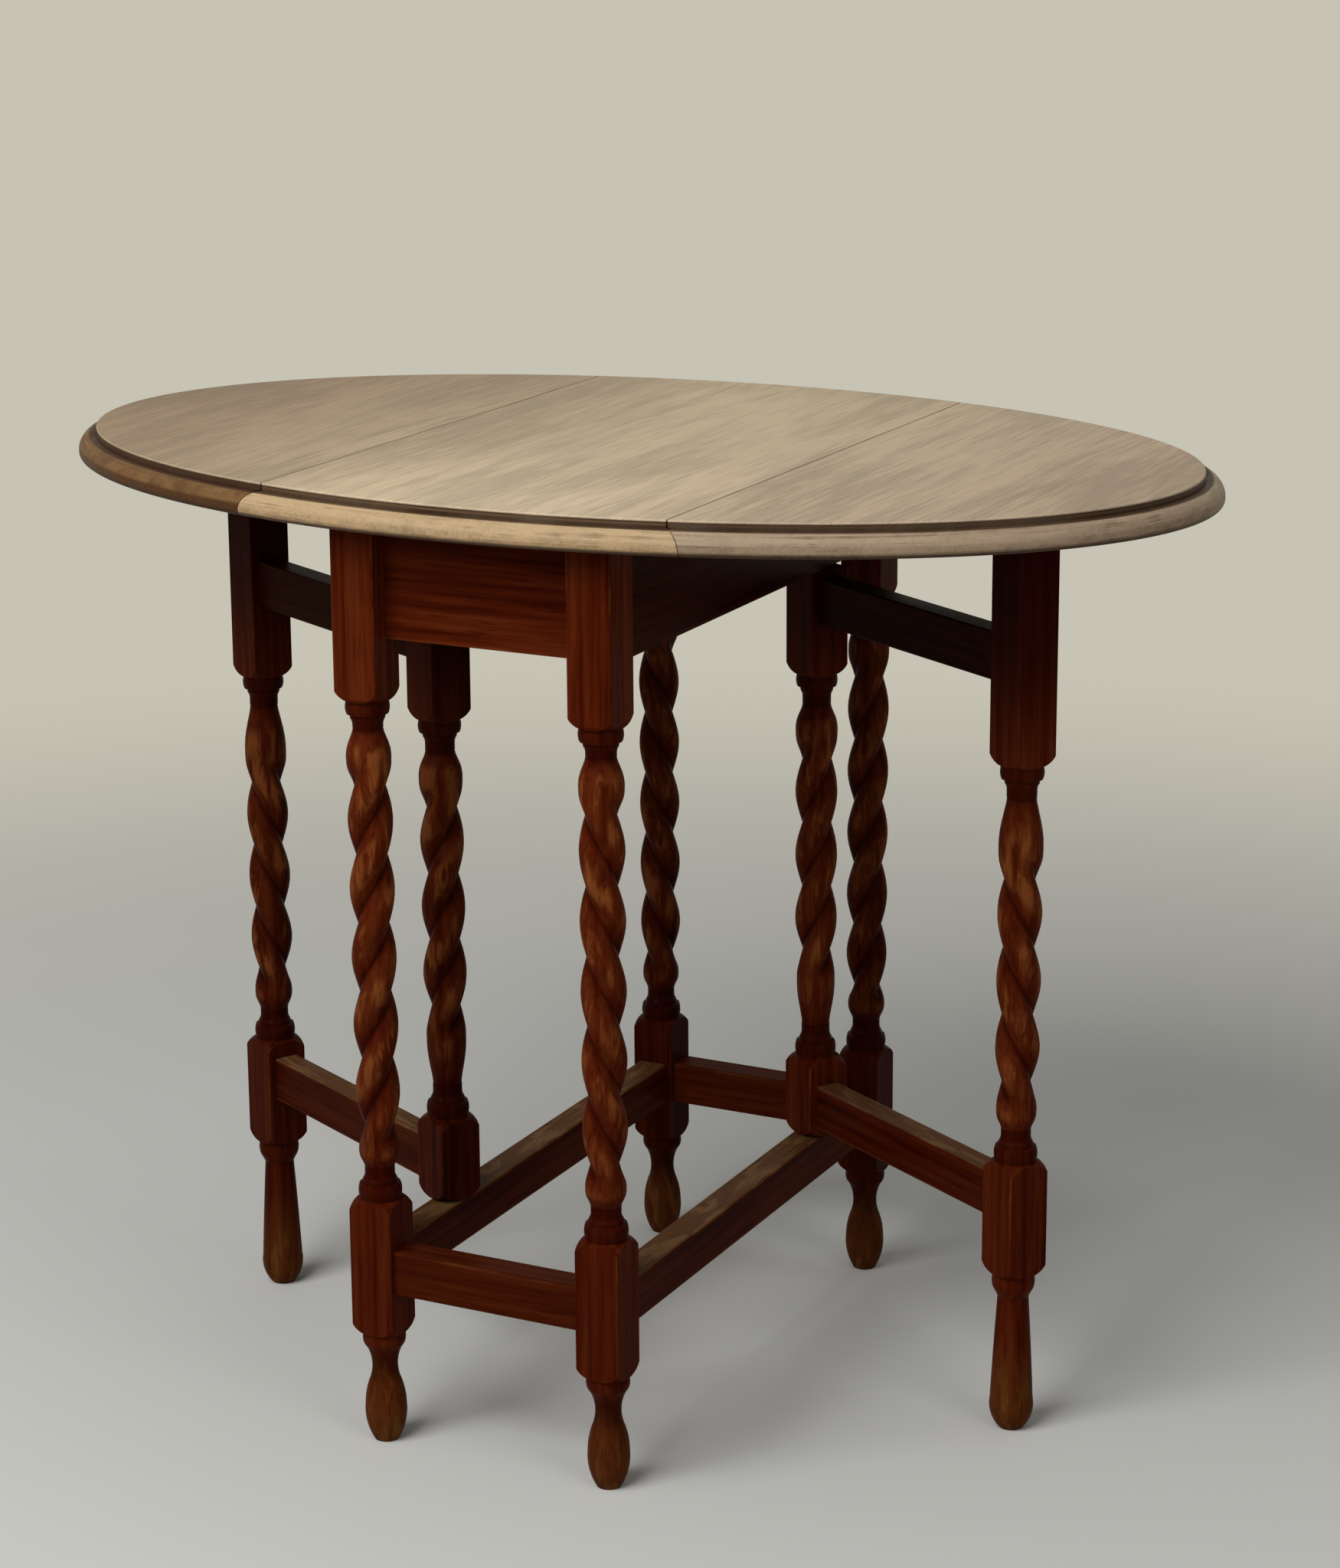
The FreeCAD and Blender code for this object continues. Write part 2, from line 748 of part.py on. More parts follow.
def corner_leg(label, side, end):
    """One of the four corner legs, with slots for two aprons and two stretchers.

    Side is -1 on the left and 1 on the right, end is -1 at the front and 1 at the back.
    """
    body = doc.addObject("PartDesign::Body", f"{label}_turning")
    lower_top = S.leg_foot_height + S.shoulder_height + S.leg_lower_block
    upper_bottom = underside - S.leg_upper_block
    shaft, low_end, high_end = shaft_outline(lower_top, S.leg_neck_lower, upper_bottom, S.leg_neck_upper)
    head = [(corner_radius, underside), (ZERO, underside)]
    turn_body(body, f"{label}_round", leg_foot() + shaft + head)
    square_off(body, f"{label}_upper_block", underside, S.leg_upper_block + S.shoulder_height)
    square_off(body, f"{label}_lower_block", lower_top + S.shoulder_height,
               S.leg_lower_block + S.shoulder_height * 2)
    inward_x = "+x" if side < 0 else "-x"
    inward_y = "+y" if end < 0 else "-y"
    end_apron_offset = (half_square - S.end_apron_setback - S.end_apron_thickness / 2) * end
    side_apron_offset = S.gate_axis_offset * side
    apron_middle = underside - S.apron_height / 2
    apron_tenon_height = S.apron_height - S.tenon_shoulder * 2
    stretcher_middle = S.stretcher_level + S.stretcher_height / 2
    stretcher_tenon_height = S.stretcher_height - S.tenon_shoulder * 2
    for name, face, offset, level, height in (
        ("end_apron", inward_x, end_apron_offset, apron_middle, apron_tenon_height),
        ("side_apron", inward_y, side_apron_offset, apron_middle, apron_tenon_height),
        ("end_stretcher", inward_x, ZERO, stretcher_middle, stretcher_tenon_height),
        ("side_stretcher", inward_y, ZERO, stretcher_middle, stretcher_tenon_height),
    ):
        mortise(body, f"{label}_{name}", face, offset, level, height, frame_tenon)
    spin = twist(f"{label}_twist", low_end, high_end, S.leg_bulb_lower, S.leg_bulb_upper, S.leg_pinch,
                 side * end, S.twist_sight_angle)
    for item in (body, spin):
        place(item, leg_x * side, leg_y * end, ZERO)
    return keep(fuse(label, [body, spin]), label)


# Straight bars of the frame and the gates
def bar(label, length, thickness, height, tenon, easing, x, y, z, angle):
    """A straight bar with a tenon at each end, its length along its own X axis."""
    body = doc.addObject("PartDesign::Body", label)
    section = new_sketch(body, f"{label}_section", "YZ_Plane", (ZERO, ZERO, ZERO))
    draw_rectangle(section, thickness, height)
    stock = pad(body, f"{label}_stock", section, length, middle=True)
    if easing is not None:
        doc.recompute()
        names = [f"Edge{i}" for i, edge in enumerate(stock.Shape.Edges, start=1)
                 if edge.BoundBox.XLength > length.value / 2]
        eased = body.newObject("PartDesign::Fillet", f"{label}_easing")
        eased.Base = (stock, names)
        bind(eased, "Radius", easing)
    tongue = new_sketch(body, f"{label}_tongue", "YZ_Plane", (ZERO, ZERO, ZERO))
    draw_rectangle(tongue, S.tenon_thickness, height - S.tenon_shoulder * 2)
    pad(body, f"{label}_tenons", tongue, length + tenon * 2, middle=True)
    place(body, x, y, z, angle)
    return body


def frame_bars():
    """The four aprons and the four stretchers, with pivot holes in the long ones."""
    across_length = S.leg_spread_across - S.leg_square
    along_length = leg_y * 2 - S.leg_square
    apron_middle = underside - S.apron_height / 2
    stretcher_middle = S.stretcher_level + S.stretcher_height / 2
    apron_y = leg_y + half_square - S.end_apron_setback - S.end_apron_thickness / 2
    for end, end_name in ENDS:
        label = f"apron_{end_name}"
        keep(bar(label, across_length, S.end_apron_thickness, S.apron_height, frame_tenon, None,
                 ZERO, apron_y * end, apron_middle, 0.0), label)
        label = f"stretcher_{end_name}"
        keep(bar(label, across_length, S.stretcher_width, S.stretcher_height, frame_tenon, S.stretcher_easing,
                 ZERO, leg_y * end, stretcher_middle, 0.0), label)
    bore = S.pivot_diameter / 2 + S.pivot_clearance
    depth = S.pivot_depth + S.post_end_gap
    bore_length = depth + S.post_end_gap
    for side, side_name in SIDES:
        pivot_x = gate_x * side
        pivot_y = S.gate_axis_along * side
        label = f"apron_{side_name}"
        apron = bar(f"{label}_bar", along_length, S.side_apron_thickness, S.apron_height, frame_tenon, None,
                    pivot_x, ZERO, apron_middle, 90.0)
        upper = rod(f"{label}_bore", "z", pivot_x, pivot_y, apron_level - S.post_end_gap, bore, bore_length)
        keep(cut(label, apron, [upper]), label)
        label = f"stretcher_{side_name}"
        stretcher = bar(f"{label}_bar", along_length, S.stretcher_width, S.stretcher_height, frame_tenon,
                        S.stretcher_easing, leg_x * side, ZERO, stretcher_middle, 90.0)
        lower = rod(f"{label}_bore", "z", pivot_x, pivot_y, stretcher_top - depth, bore, bore_length)
        keep(cut(label, stretcher, [lower]), label)


# Gates
def gate(name, side, angle):
    """One gate: a post that turns on two pins, a leg and two rails between them."""
    post_x = gate_x * side
    post_y = S.gate_axis_along * side
    leg_at_x = post_x + S.gate_reach * cosine(angle)
    leg_at_y = post_y + S.gate_reach * sine(angle)
    middle_x = post_x + S.gate_reach / 2 * cosine(angle)
    middle_y = post_y + S.gate_reach / 2 * sine(angle)
    turn = angle.value
    rails = (
        ("upper_rail", upper_rail_level, S.upper_rail_height),
        ("lower_rail", S.lower_rail_level, S.lower_rail_height),
    )

    label = f"gate_post_{name}"
    body = doc.addObject("PartDesign::Body", f"{label}_turning")
    lower_top = post_bottom + S.shoulder_height + S.post_lower_block
    upper_bottom = post_top - S.post_upper_block
    shaft, low_end, high_end = shaft_outline(lower_top, S.post_neck_lower, upper_bottom, S.post_neck_upper)
    head = [(corner_radius, post_top), (ZERO, post_top)]
    turn_body(body, f"{label}_round", post_foot() + shaft + head)
    square_off(body, f"{label}_upper_block", post_top, S.post_upper_block + S.shoulder_height)
    square_off(body, f"{label}_lower_block", lower_top + S.shoulder_height,
               S.post_lower_block + S.shoulder_height * 2)
    for rail, level, height in rails:
        mortise(body, f"{label}_{rail}", "+x", ZERO, level + height / 2, height - S.tenon_shoulder * 2,
                rail_tenon)
    spin = twist(f"{label}_twist", low_end, high_end, S.post_bulb_lower, S.post_bulb_upper, S.post_pinch,
                 1, S.twist_gate_angle)
    for item in (body, spin):
        place(item, post_x, post_y, ZERO, turn)
    whole = fuse(f"{label}_whole", [body, spin])
    socket = S.pivot_diameter / 2
    socket_length = S.pivot_depth + CUT_MARGIN
    bores = [
        rod(f"{label}_upper_bore", "z", post_x, post_y, post_top - S.pivot_depth, socket, socket_length),
        rod(f"{label}_lower_bore", "z", post_x, post_y, post_bottom - CUT_MARGIN, socket, socket_length),
    ]
    keep(cut(label, whole, bores), label)

    pin_length = S.pivot_depth * 2 + S.post_end_gap
    for where, start in (
        ("upper", post_top - S.pivot_depth),
        ("lower", post_bottom + S.pivot_depth - pin_length),
    ):
        label = f"pivot_pin_{where}_{name}"
        keep(rod(label, "z", post_x, post_y, start, socket, pin_length), label)

    label = f"gate_leg_{name}"
    body = doc.addObject("PartDesign::Body", f"{label}_turning")
    lower_top = S.gate_foot_height + S.shoulder_height + S.gate_lower_block
    upper_bottom = underside - S.gate_upper_block
    shaft, low_end, high_end = shaft_outline(lower_top, S.gate_neck_lower, upper_bottom, S.gate_neck_upper)
    head = [(corner_radius, gate_leg_top), (ZERO, gate_leg_top)]
    turn_body(body, f"{label}_round", gate_foot() + shaft + head)
    square_off(body, f"{label}_upper_block", underside, S.gate_upper_block + S.shoulder_height)
    square_off(body, f"{label}_lower_block", lower_top + S.shoulder_height,
               S.gate_lower_block + S.shoulder_height * 2)
    for rail, level, height in rails:
        mortise(body, f"{label}_{rail}", "-x", ZERO, level + height / 2, height - S.tenon_shoulder * 2,
                rail_tenon)
    spin = twist(f"{label}_twist", low_end, high_end, S.gate_bulb_lower, S.gate_bulb_upper, S.gate_pinch,
                 -1, S.twist_gate_angle)
    for item in (body, spin):
        place(item, leg_at_x, leg_at_y, ZERO, turn)
    keep(fuse(label, [body, spin]), label)

    for rail, level, height in rails:
        label = f"gate_{rail}_{name}"
        keep(bar(label, S.gate_reach - S.leg_square, S.rail_thickness, height, rail_tenon, S.rail_easing,
                 middle_x, middle_y, level + height / 2, turn), label)
    return leg_at_x, leg_at_y


# Screws
@functools.lru_cache(maxsize=None)
def screw_shape(length, growth):
    """A countersunk screw that points up from the origin, grown all round for its hole."""
    shank = S.screw_diameter.value / 2 + growth
    head = S.screw_head_diameter.value / 2 + growth
    point = S.screw_point.value + growth
    tip_start = length - S.screw_tip.value
    end = length + growth
    outline = [(0, 0), (head, 0), (shank, head - shank), (shank, tip_start), (point, end), (0, end), (0, 0)]
    wire = Part.makePolygon([FreeCAD.Vector(radius, 0, level) for radius, level in outline])
    return Part.Face(wire).revolve(FreeCAD.Vector(), VERTICAL, 360)


def slotted(screw):
    """A screw with a driver's slot across its head."""
    width = S.screw_slot_width.value
    depth = S.screw_slot_depth.value
    reach = S.screw_head_diameter.value
    slot = Part.makeBox(reach * 2, width, depth * 2, FreeCAD.Vector(-reach, -width / 2, -depth))
    return screw.cut(slot).Solids[0]


def screw_group(label, length, spots):
    """A group of equal screws that point up, each turned differently, and the holes that they need."""
    screw = slotted(screw_shape(length.value, 0.0))
    hole = screw_shape(length.value, S.screw_clearance.value)
    screws = []
    holes = []
    for index, spot in enumerate(spots):
        place_at = FreeCAD.Vector(*(dim.value for dim in spot))
        screws.append(screw.rotated(FreeCAD.Vector(), VERTICAL, SLOT_TURN * index).translated(place_at))
        holes.append(hole.translated(place_at))
    group = doc.addObject("Part::Feature", label)
    group.Shape = Part.makeCompound(screws)
    keep(group, label)
    hole_group = doc.addObject("Part::Feature", f"{label}_holes")
    hole_group.Shape = Part.makeCompound(holes)
    return hole_group


# Top, leaves and their hinges
def round_oval(body, name, level, radius):
    """Rounds the oval edges of a board that lie at a level."""
    doc.recompute()
    source = body.Tip
    names = [f"Edge{i}" for i, edge in enumerate(source.Shape.Edges, start=1)
             if edge.Curve.TypeId == "Part::GeomEllipse"
             and abs(edge.CenterOfMass.z - level.value) < FLAT]
    rounding = body.newObject("PartDesign::Fillet", name)
    rounding.Base = (source, names)
    bind(rounding, "Radius", radius)


def top_piece(label, cut_lines):
    """A part of the oval top with its stepped and rounded rim, cut off at upright lines."""
    body = doc.addObject("PartDesign::Body", f"{label}_board")
    lower = new_sketch(body, f"{label}_rim_oval", "XY_Plane", (ZERO, ZERO, underside))
    draw_oval(lower, S.top_length / 2, S.top_width / 2, cut_lines)
    pad(body, f"{label}_rim_plate", lower, S.top_thickness - S.rim_step)
    round_oval(body, f"{label}_round_upper", S.table_height - S.rim_step, S.rim_round_upper)
    round_oval(body, f"{label}_round_lower", underside, S.rim_round_lower)
    upper = new_sketch(body, f"{label}_field_oval", "XY_Plane", (ZERO, ZERO, underside))
    draw_oval(upper, S.top_length / 2 - S.rim_width, S.top_width / 2 - S.rim_width, cut_lines)
    pad(body, f"{label}_field", upper, S.top_thickness)
    round_oval(body, f"{label}_field_ease", S.table_height, S.field_ease)
    return body


def hinge(name, side, y_middle, frame_holes, leaf_holes):
    """One rule joint hinge let into the underside, and the recesses that it needs.

    The plate stays on the centre panel, the flap swings with the leaf about the pin.
    """
    low = y_middle - S.hinge_length / 2
    high = y_middle + S.hinge_length / 2
    third = S.hinge_length / 3
    inner_low = low + third
    inner_high = high - third
    line = S.rule_line
    pin_x = line * side
    plate_top = underside + S.hinge_thickness
    margin = as_dim(CUT_MARGIN)
    below = underside - margin
    above = pin_level + S.hinge_knuckle_radius + margin
    bore = S.hinge_pin_diameter / 2 + S.hinge_pin_clearance
    gap = S.hinge_knuckle_gap
    room = S.hinge_let_in

    def knuckle(label, start, end):
        return rod(label, "y", pin_x, start, pin_level, S.hinge_knuckle_radius, end - start)

    def pin_bore(label):
        return rod(label, "y", pin_x, low - margin, pin_level, bore, S.hinge_length + margin * 2)

    label = f"hinge_plate_{name}"
    sheet_metal = box(f"{label}_sheet", across(side, line - S.hinge_fixed_reach, line), (low, high),
                      (underside, plate_top))
    notch = box(f"{label}_notch", across(side, line - S.hinge_notch, line + margin), (inner_low, inner_high),
                (below, above))
    trimmed = cut(f"{label}_trimmed", sheet_metal, [notch])
    rolled = fuse(f"{label}_rolled", [trimmed, knuckle(f"{label}_first", low, inner_low),
                                      knuckle(f"{label}_second", inner_high, high)])
    keep(cut(label, rolled, [pin_bore(f"{label}_bore"), frame_holes]), label)

    label = f"hinge_flap_{name}"
    sheet_metal = box(f"{label}_sheet", across(side, line, line + S.hinge_leaf_reach), (low, high),
                      (underside, plate_top))
    notch_x = across(side, line - margin, line + S.hinge_notch)
    notches = [
        box(f"{label}_first_notch", notch_x, (low - margin, inner_low + gap), (below, above)),
        box(f"{label}_second_notch", notch_x, (inner_high - gap, high + margin), (below, above)),
    ]
    trimmed = cut(f"{label}_trimmed", sheet_metal, notches)
    middle_knuckle = knuckle(f"{label}_knuckle", inner_low + gap, inner_high - gap)
    rolled = fuse(f"{label}_rolled", [trimmed, middle_knuckle])
    keep(cut(label, rolled, [pin_bore(f"{label}_bore"), leaf_holes]), label)

    label = f"hinge_pin_{name}"
    keep(rod(label, "y", pin_x, low, pin_level, S.hinge_pin_diameter / 2, S.hinge_length), label)

    recess_y = (low - room, high + room)
    knuckle_room = S.hinge_knuckle_radius + room * 2
    panel_recesses = [
        box(f"panel_plate_recess_{name}", across(side, line - S.hinge_fixed_reach - room, line), recess_y,
            (below, plate_top)),
        box(f"panel_lip_recess_{name}", across(side, line - S.hinge_notch, line + rule_radius + margin),
            recess_y, (below, pin_level)),
        box(f"panel_knuckle_recess_{name}", across(side, line - knuckle_room, line + knuckle_room), recess_y,
            (below, pin_level + knuckle_room)),
    ]
    leaf_recess = box(f"leaf_recess_{name}", across(side, line, line + S.hinge_leaf_reach + room), recess_y,
                      (below, plate_top))
    return panel_recesses, leaf_recess


def hinge_screw_spots(side, y_middle, near, far):
    """Places of a hinge wing's three screws: one near the knuckle and two at the far corners."""
    sideways = S.hinge_length / 2 - S.hinge_screw_inset
    return [
        (near * side, y_middle, underside),
        (far * side, y_middle - sideways, underside),
        (far * side, y_middle + sideways, underside),
    ]


def fixing_blocks():
    """Blocks in the corners of the side aprons and the panel, with the screws that hold the top."""
    outer = gate_x - S.side_apron_thickness / 2
    inner = outer - S.fixing_block_width
    bottom = underside - S.fixing_block_width
    sideways = S.fixing_block_length / 2 - S.fixing_screw_inset
    spots = [
        ((outer + inner) / 2 * side, S.fixing_block_along * end + sideways * step, bottom)
        for side in SIGNS for end in SIGNS for step in SIGNS
    ]
    holes = screw_group("top_screws", S.fixing_block_width + S.block_screw_bite, spots)
    for side, side_name in SIDES:
        for end, end_name in ENDS:
            label = f"fixing_block_{side_name}_{end_name}"
            low = S.fixing_block_along * end - S.fixing_block_length / 2
            stock = box(f"{label}_stock", across(side, inner, outer), (low, low + S.fixing_block_length),
                        (bottom, underside))
            keep(cut(label, stock, [holes]), label)
    return holes


def leaf_stop(name, angle, leg_at_x, leg_at_y):
    """A block under a leaf that the gate leg swings against, with its two screws."""
    label = f"leaf_stop_{name}"
    bottom = underside - S.stop_block_height
    near = half_square + S.stop_gap
    start_x = leg_at_x - sine(angle) * near - cosine(angle) * S.stop_block_length / 2
    start_y = leg_at_y + cosine(angle) * near - sine(angle) * S.stop_block_length / 2
    stock = doc.addObject("Part::Box", f"{label}_stock")
    bind(stock, "Length", S.stop_block_length)
    bind(stock, "Width", S.stop_block_width)
    bind(stock, "Height", S.stop_block_height)
    place(stock, start_x, start_y, bottom, angle.value)
    half_width = S.stop_block_width / 2
    spots = []
    for along in (S.stop_screw_inset, S.stop_block_length - S.stop_screw_inset):
        spot_x = start_x + cosine(angle) * along - sine(angle) * half_width
        spot_y = start_y + sine(angle) * along + cosine(angle) * half_width
        spots.append((spot_x, spot_y, bottom))
    holes = screw_group(f"leaf_stop_screws_{name}", S.stop_block_height + S.block_screw_bite, spots)
    keep(cut(label, stock, [holes]), label)
    return holes


def top_and_hinges(leaf_stop_holes, block_holes):
    """The centre panel, the two leaves and the four hinges between them."""
    margin = as_dim(CUT_MARGIN)
    line = S.rule_line
    lip = line + rule_radius
    hollow = rule_radius + S.rule_gap_round
    far = S.top_width
    everywhere = (-far, far)
    below = underside - margin
    above = S.table_height + margin
    frame_spots = []
    for side in SIGNS:
        for end in SIGNS:
            frame_spots += hinge_screw_spots(side, S.hinge_spread * end, line - S.hinge_screw_near,
                                             line - S.hinge_fixed_reach + S.hinge_screw_inset)
    frame_holes = screw_group("hinge_screws_panel", S.hinge_screw_length, frame_spots)

    panel_tools = [frame_holes, block_holes]
    for side, side_name in SIDES:
        leaf_spots = []
        for end in SIGNS:
            leaf_spots += hinge_screw_spots(side, S.hinge_spread * end, line + S.hinge_screw_near_leaf,
                                            line + S.hinge_leaf_reach - S.hinge_screw_inset)
        leaf_holes = screw_group(f"hinge_screws_leaf_{side_name}", S.hinge_screw_length, leaf_spots)
        leaf_tools = [
            leaf_holes,
            leaf_stop_holes[side_name],
            rod(f"leaf_hollow_{side_name}", "y", line * side, -far, pin_level, hollow, far * 2),
            box(f"leaf_lip_{side_name}", across(side, line - hollow, line + hollow), everywhere,
                (below, pin_level)),
        ]
        for end, end_name in ENDS:
            label = f"{side_name}_{end_name}"
            recesses, leaf_recess = hinge(label, side, S.hinge_spread * end, frame_holes, leaf_holes)
            panel_tools += recesses
            leaf_tools.append(leaf_recess)
        leaf_board = top_piece(f"leaf_{side_name}", [(line + S.rule_gap_fillet) * side])
        keep(cut(f"leaf_{side_name}", leaf_board, leaf_tools), f"leaf_{side_name}")

        corner = box(f"panel_corner_{side_name}", across(side, line, lip + margin), everywhere,
                     (pin_level, above))
        round_edge = rod(f"panel_round_{side_name}", "y", line * side, -far, pin_level, rule_radius, far * 2)
        panel_tools.append(cut(f"panel_quirk_{side_name}", corner, [round_edge]))

    panel_board = top_piece("centre_panel", [-lip, lip])
    keep(cut("centre_panel", panel_board, panel_tools), "centre_panel")


for end, end_name in ENDS:
    for side, side_name in SIDES:
        corner_leg(f"leg_{end_name}_{side_name}", side, end)
frame_bars()
stop_holes = {}
for (side, side_name), gate_angle in zip(SIDES, (S.gate_left_angle, S.gate_right_angle)):
    stop_holes[side_name] = leaf_stop(side_name, gate_angle, *gate(side_name, side, gate_angle))
top_and_hinges(stop_holes, fixing_blocks())
doc.recompute()

# Nothing is written unless every object is sound
for item in doc.Objects:
    if "Invalid" in item.State or "Error" in item.State:
        raise RuntimeError(f"{item.Label} failed: {item.State}")
for item, base in cuts:
    if item.Shape.Volume > base.Shape.Volume - ROUGH_VOLUME:
        raise RuntimeError(f"{item.Label} cut nothing")
for item in nodes:
    if not item.Shape.Solids or not item.Shape.isValid():
        raise RuntimeError(f"{item.Label} has no sound shape")

os.makedirs("parts", exist_ok=True)
for item in nodes:
    item.Shape.exportStep(f"parts/{item.Label}.step")
print(f"{len(nodes)} pieces written")
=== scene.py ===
import logging
import math
from dataclasses import dataclass, field, replace
from enum import Enum
from typing import Sequence

import bpy
from mathutils import Matrix, Vector


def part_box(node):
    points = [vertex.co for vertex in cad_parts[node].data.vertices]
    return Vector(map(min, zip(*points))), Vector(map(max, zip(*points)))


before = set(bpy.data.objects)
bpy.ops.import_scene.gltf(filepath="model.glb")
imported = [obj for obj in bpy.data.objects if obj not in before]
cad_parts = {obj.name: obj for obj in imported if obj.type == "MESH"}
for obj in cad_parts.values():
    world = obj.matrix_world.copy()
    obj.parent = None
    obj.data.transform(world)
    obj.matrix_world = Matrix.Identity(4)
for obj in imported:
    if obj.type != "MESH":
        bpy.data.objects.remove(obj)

Colour = tuple[float, float, float]
Socket = bpy.types.NodeSocket

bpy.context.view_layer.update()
SEED_STEP = Vector((3.7, 6.1, 11.3))
SEEDS_PER_METRE = 10.0
LOG = logging.getLogger("gate_leg_table")


class Grain(Enum):
    """The axis of a piece's own frame that its grain runs along."""

    ALONG_X = 0
    ALONG_Y = 1
    ALONG_Z = 2


class Wear(Enum):
    """How a piece of the base has been used."""

    TURNED = "turned"
    TRODDEN = "trodden"
    SHELTERED = "sheltered"


class Side(Enum):
    """The side of the table that a leaf and its gate are on."""

    LEFT = "left"
    RIGHT = "right"


# Painted shade: each gate gets a darker copy of the finish, the left gate darker still.
GATE_SHADES = {Side.LEFT: 0.65, Side.RIGHT: 0.90}


@dataclass(frozen=True)
class Member:
    """Where a piece lies and how it is shaped.

    The piece's own frame starts at a point on its axis and is turned about the vertical. The half width
    and half height are those of a bar. The twist is the span of heights in which a turned piece is twisted.
    """

    origin: Vector
    grain: Grain
    turn: float = 0.0
    half_width: float = 0.0
    half_height: float = 0.0
    seed: float = 0.0
    twist: tuple[float, float] = (0.0, 0.0)


@dataclass(frozen=True)
class Figure:
    """A cloudy pattern that is drawn out along a grain.

    It has so many features to the metre across and along the grain, so many octaves of finer noise, a
    strength of each finer octave, and a swirl.
    """

    across: float
    along: float
    octaves: float
    strength: float
    swirl: float = 0.0

    def scales(self, grain: Grain) -> Vector:
        """Texture scales that draw the pattern out along a grain.

        Args:
            grain: The axis that the pattern is drawn out along.

        Returns:
            Features per metre along each axis.
        """
        scales = Vector((self.across, self.across, self.across))
        scales[grain.value] = self.along
        return scales


@dataclass(frozen=True)
class Fade:
    """A smooth change from start to end as a value goes from low to high."""

    low: float
    high: float
    start: float = 0.0
    end: float = 1.0

    def at(self, level: float) -> "Fade":
        """The same change with its low and high measured from a level."""
        return replace(self, low=level + self.low, high=level + self.high)

    def shaded(self, factor: float) -> "Fade":
        """The same change with its start and end multiplied by a factor."""
        return replace(self, start=self.start * factor, end=self.end * factor)


@dataclass(frozen=True)
class RimLine:
    """A line round the rim: its edges from a level of the rim, how soft they are, and how it is worn."""

    low: float
    high: float
    soft: float
    wear: Fade


@dataclass(frozen=True)
class RimLevels:
    """The heights of a board's underside, of the step in its rim and of its top face."""

    underside: float
    step: float
    top: float


@dataclass(frozen=True)
class Relief:
    """How a surface is roughened: the share of it that shows, and its real height in metres."""

    share: float
    height: float


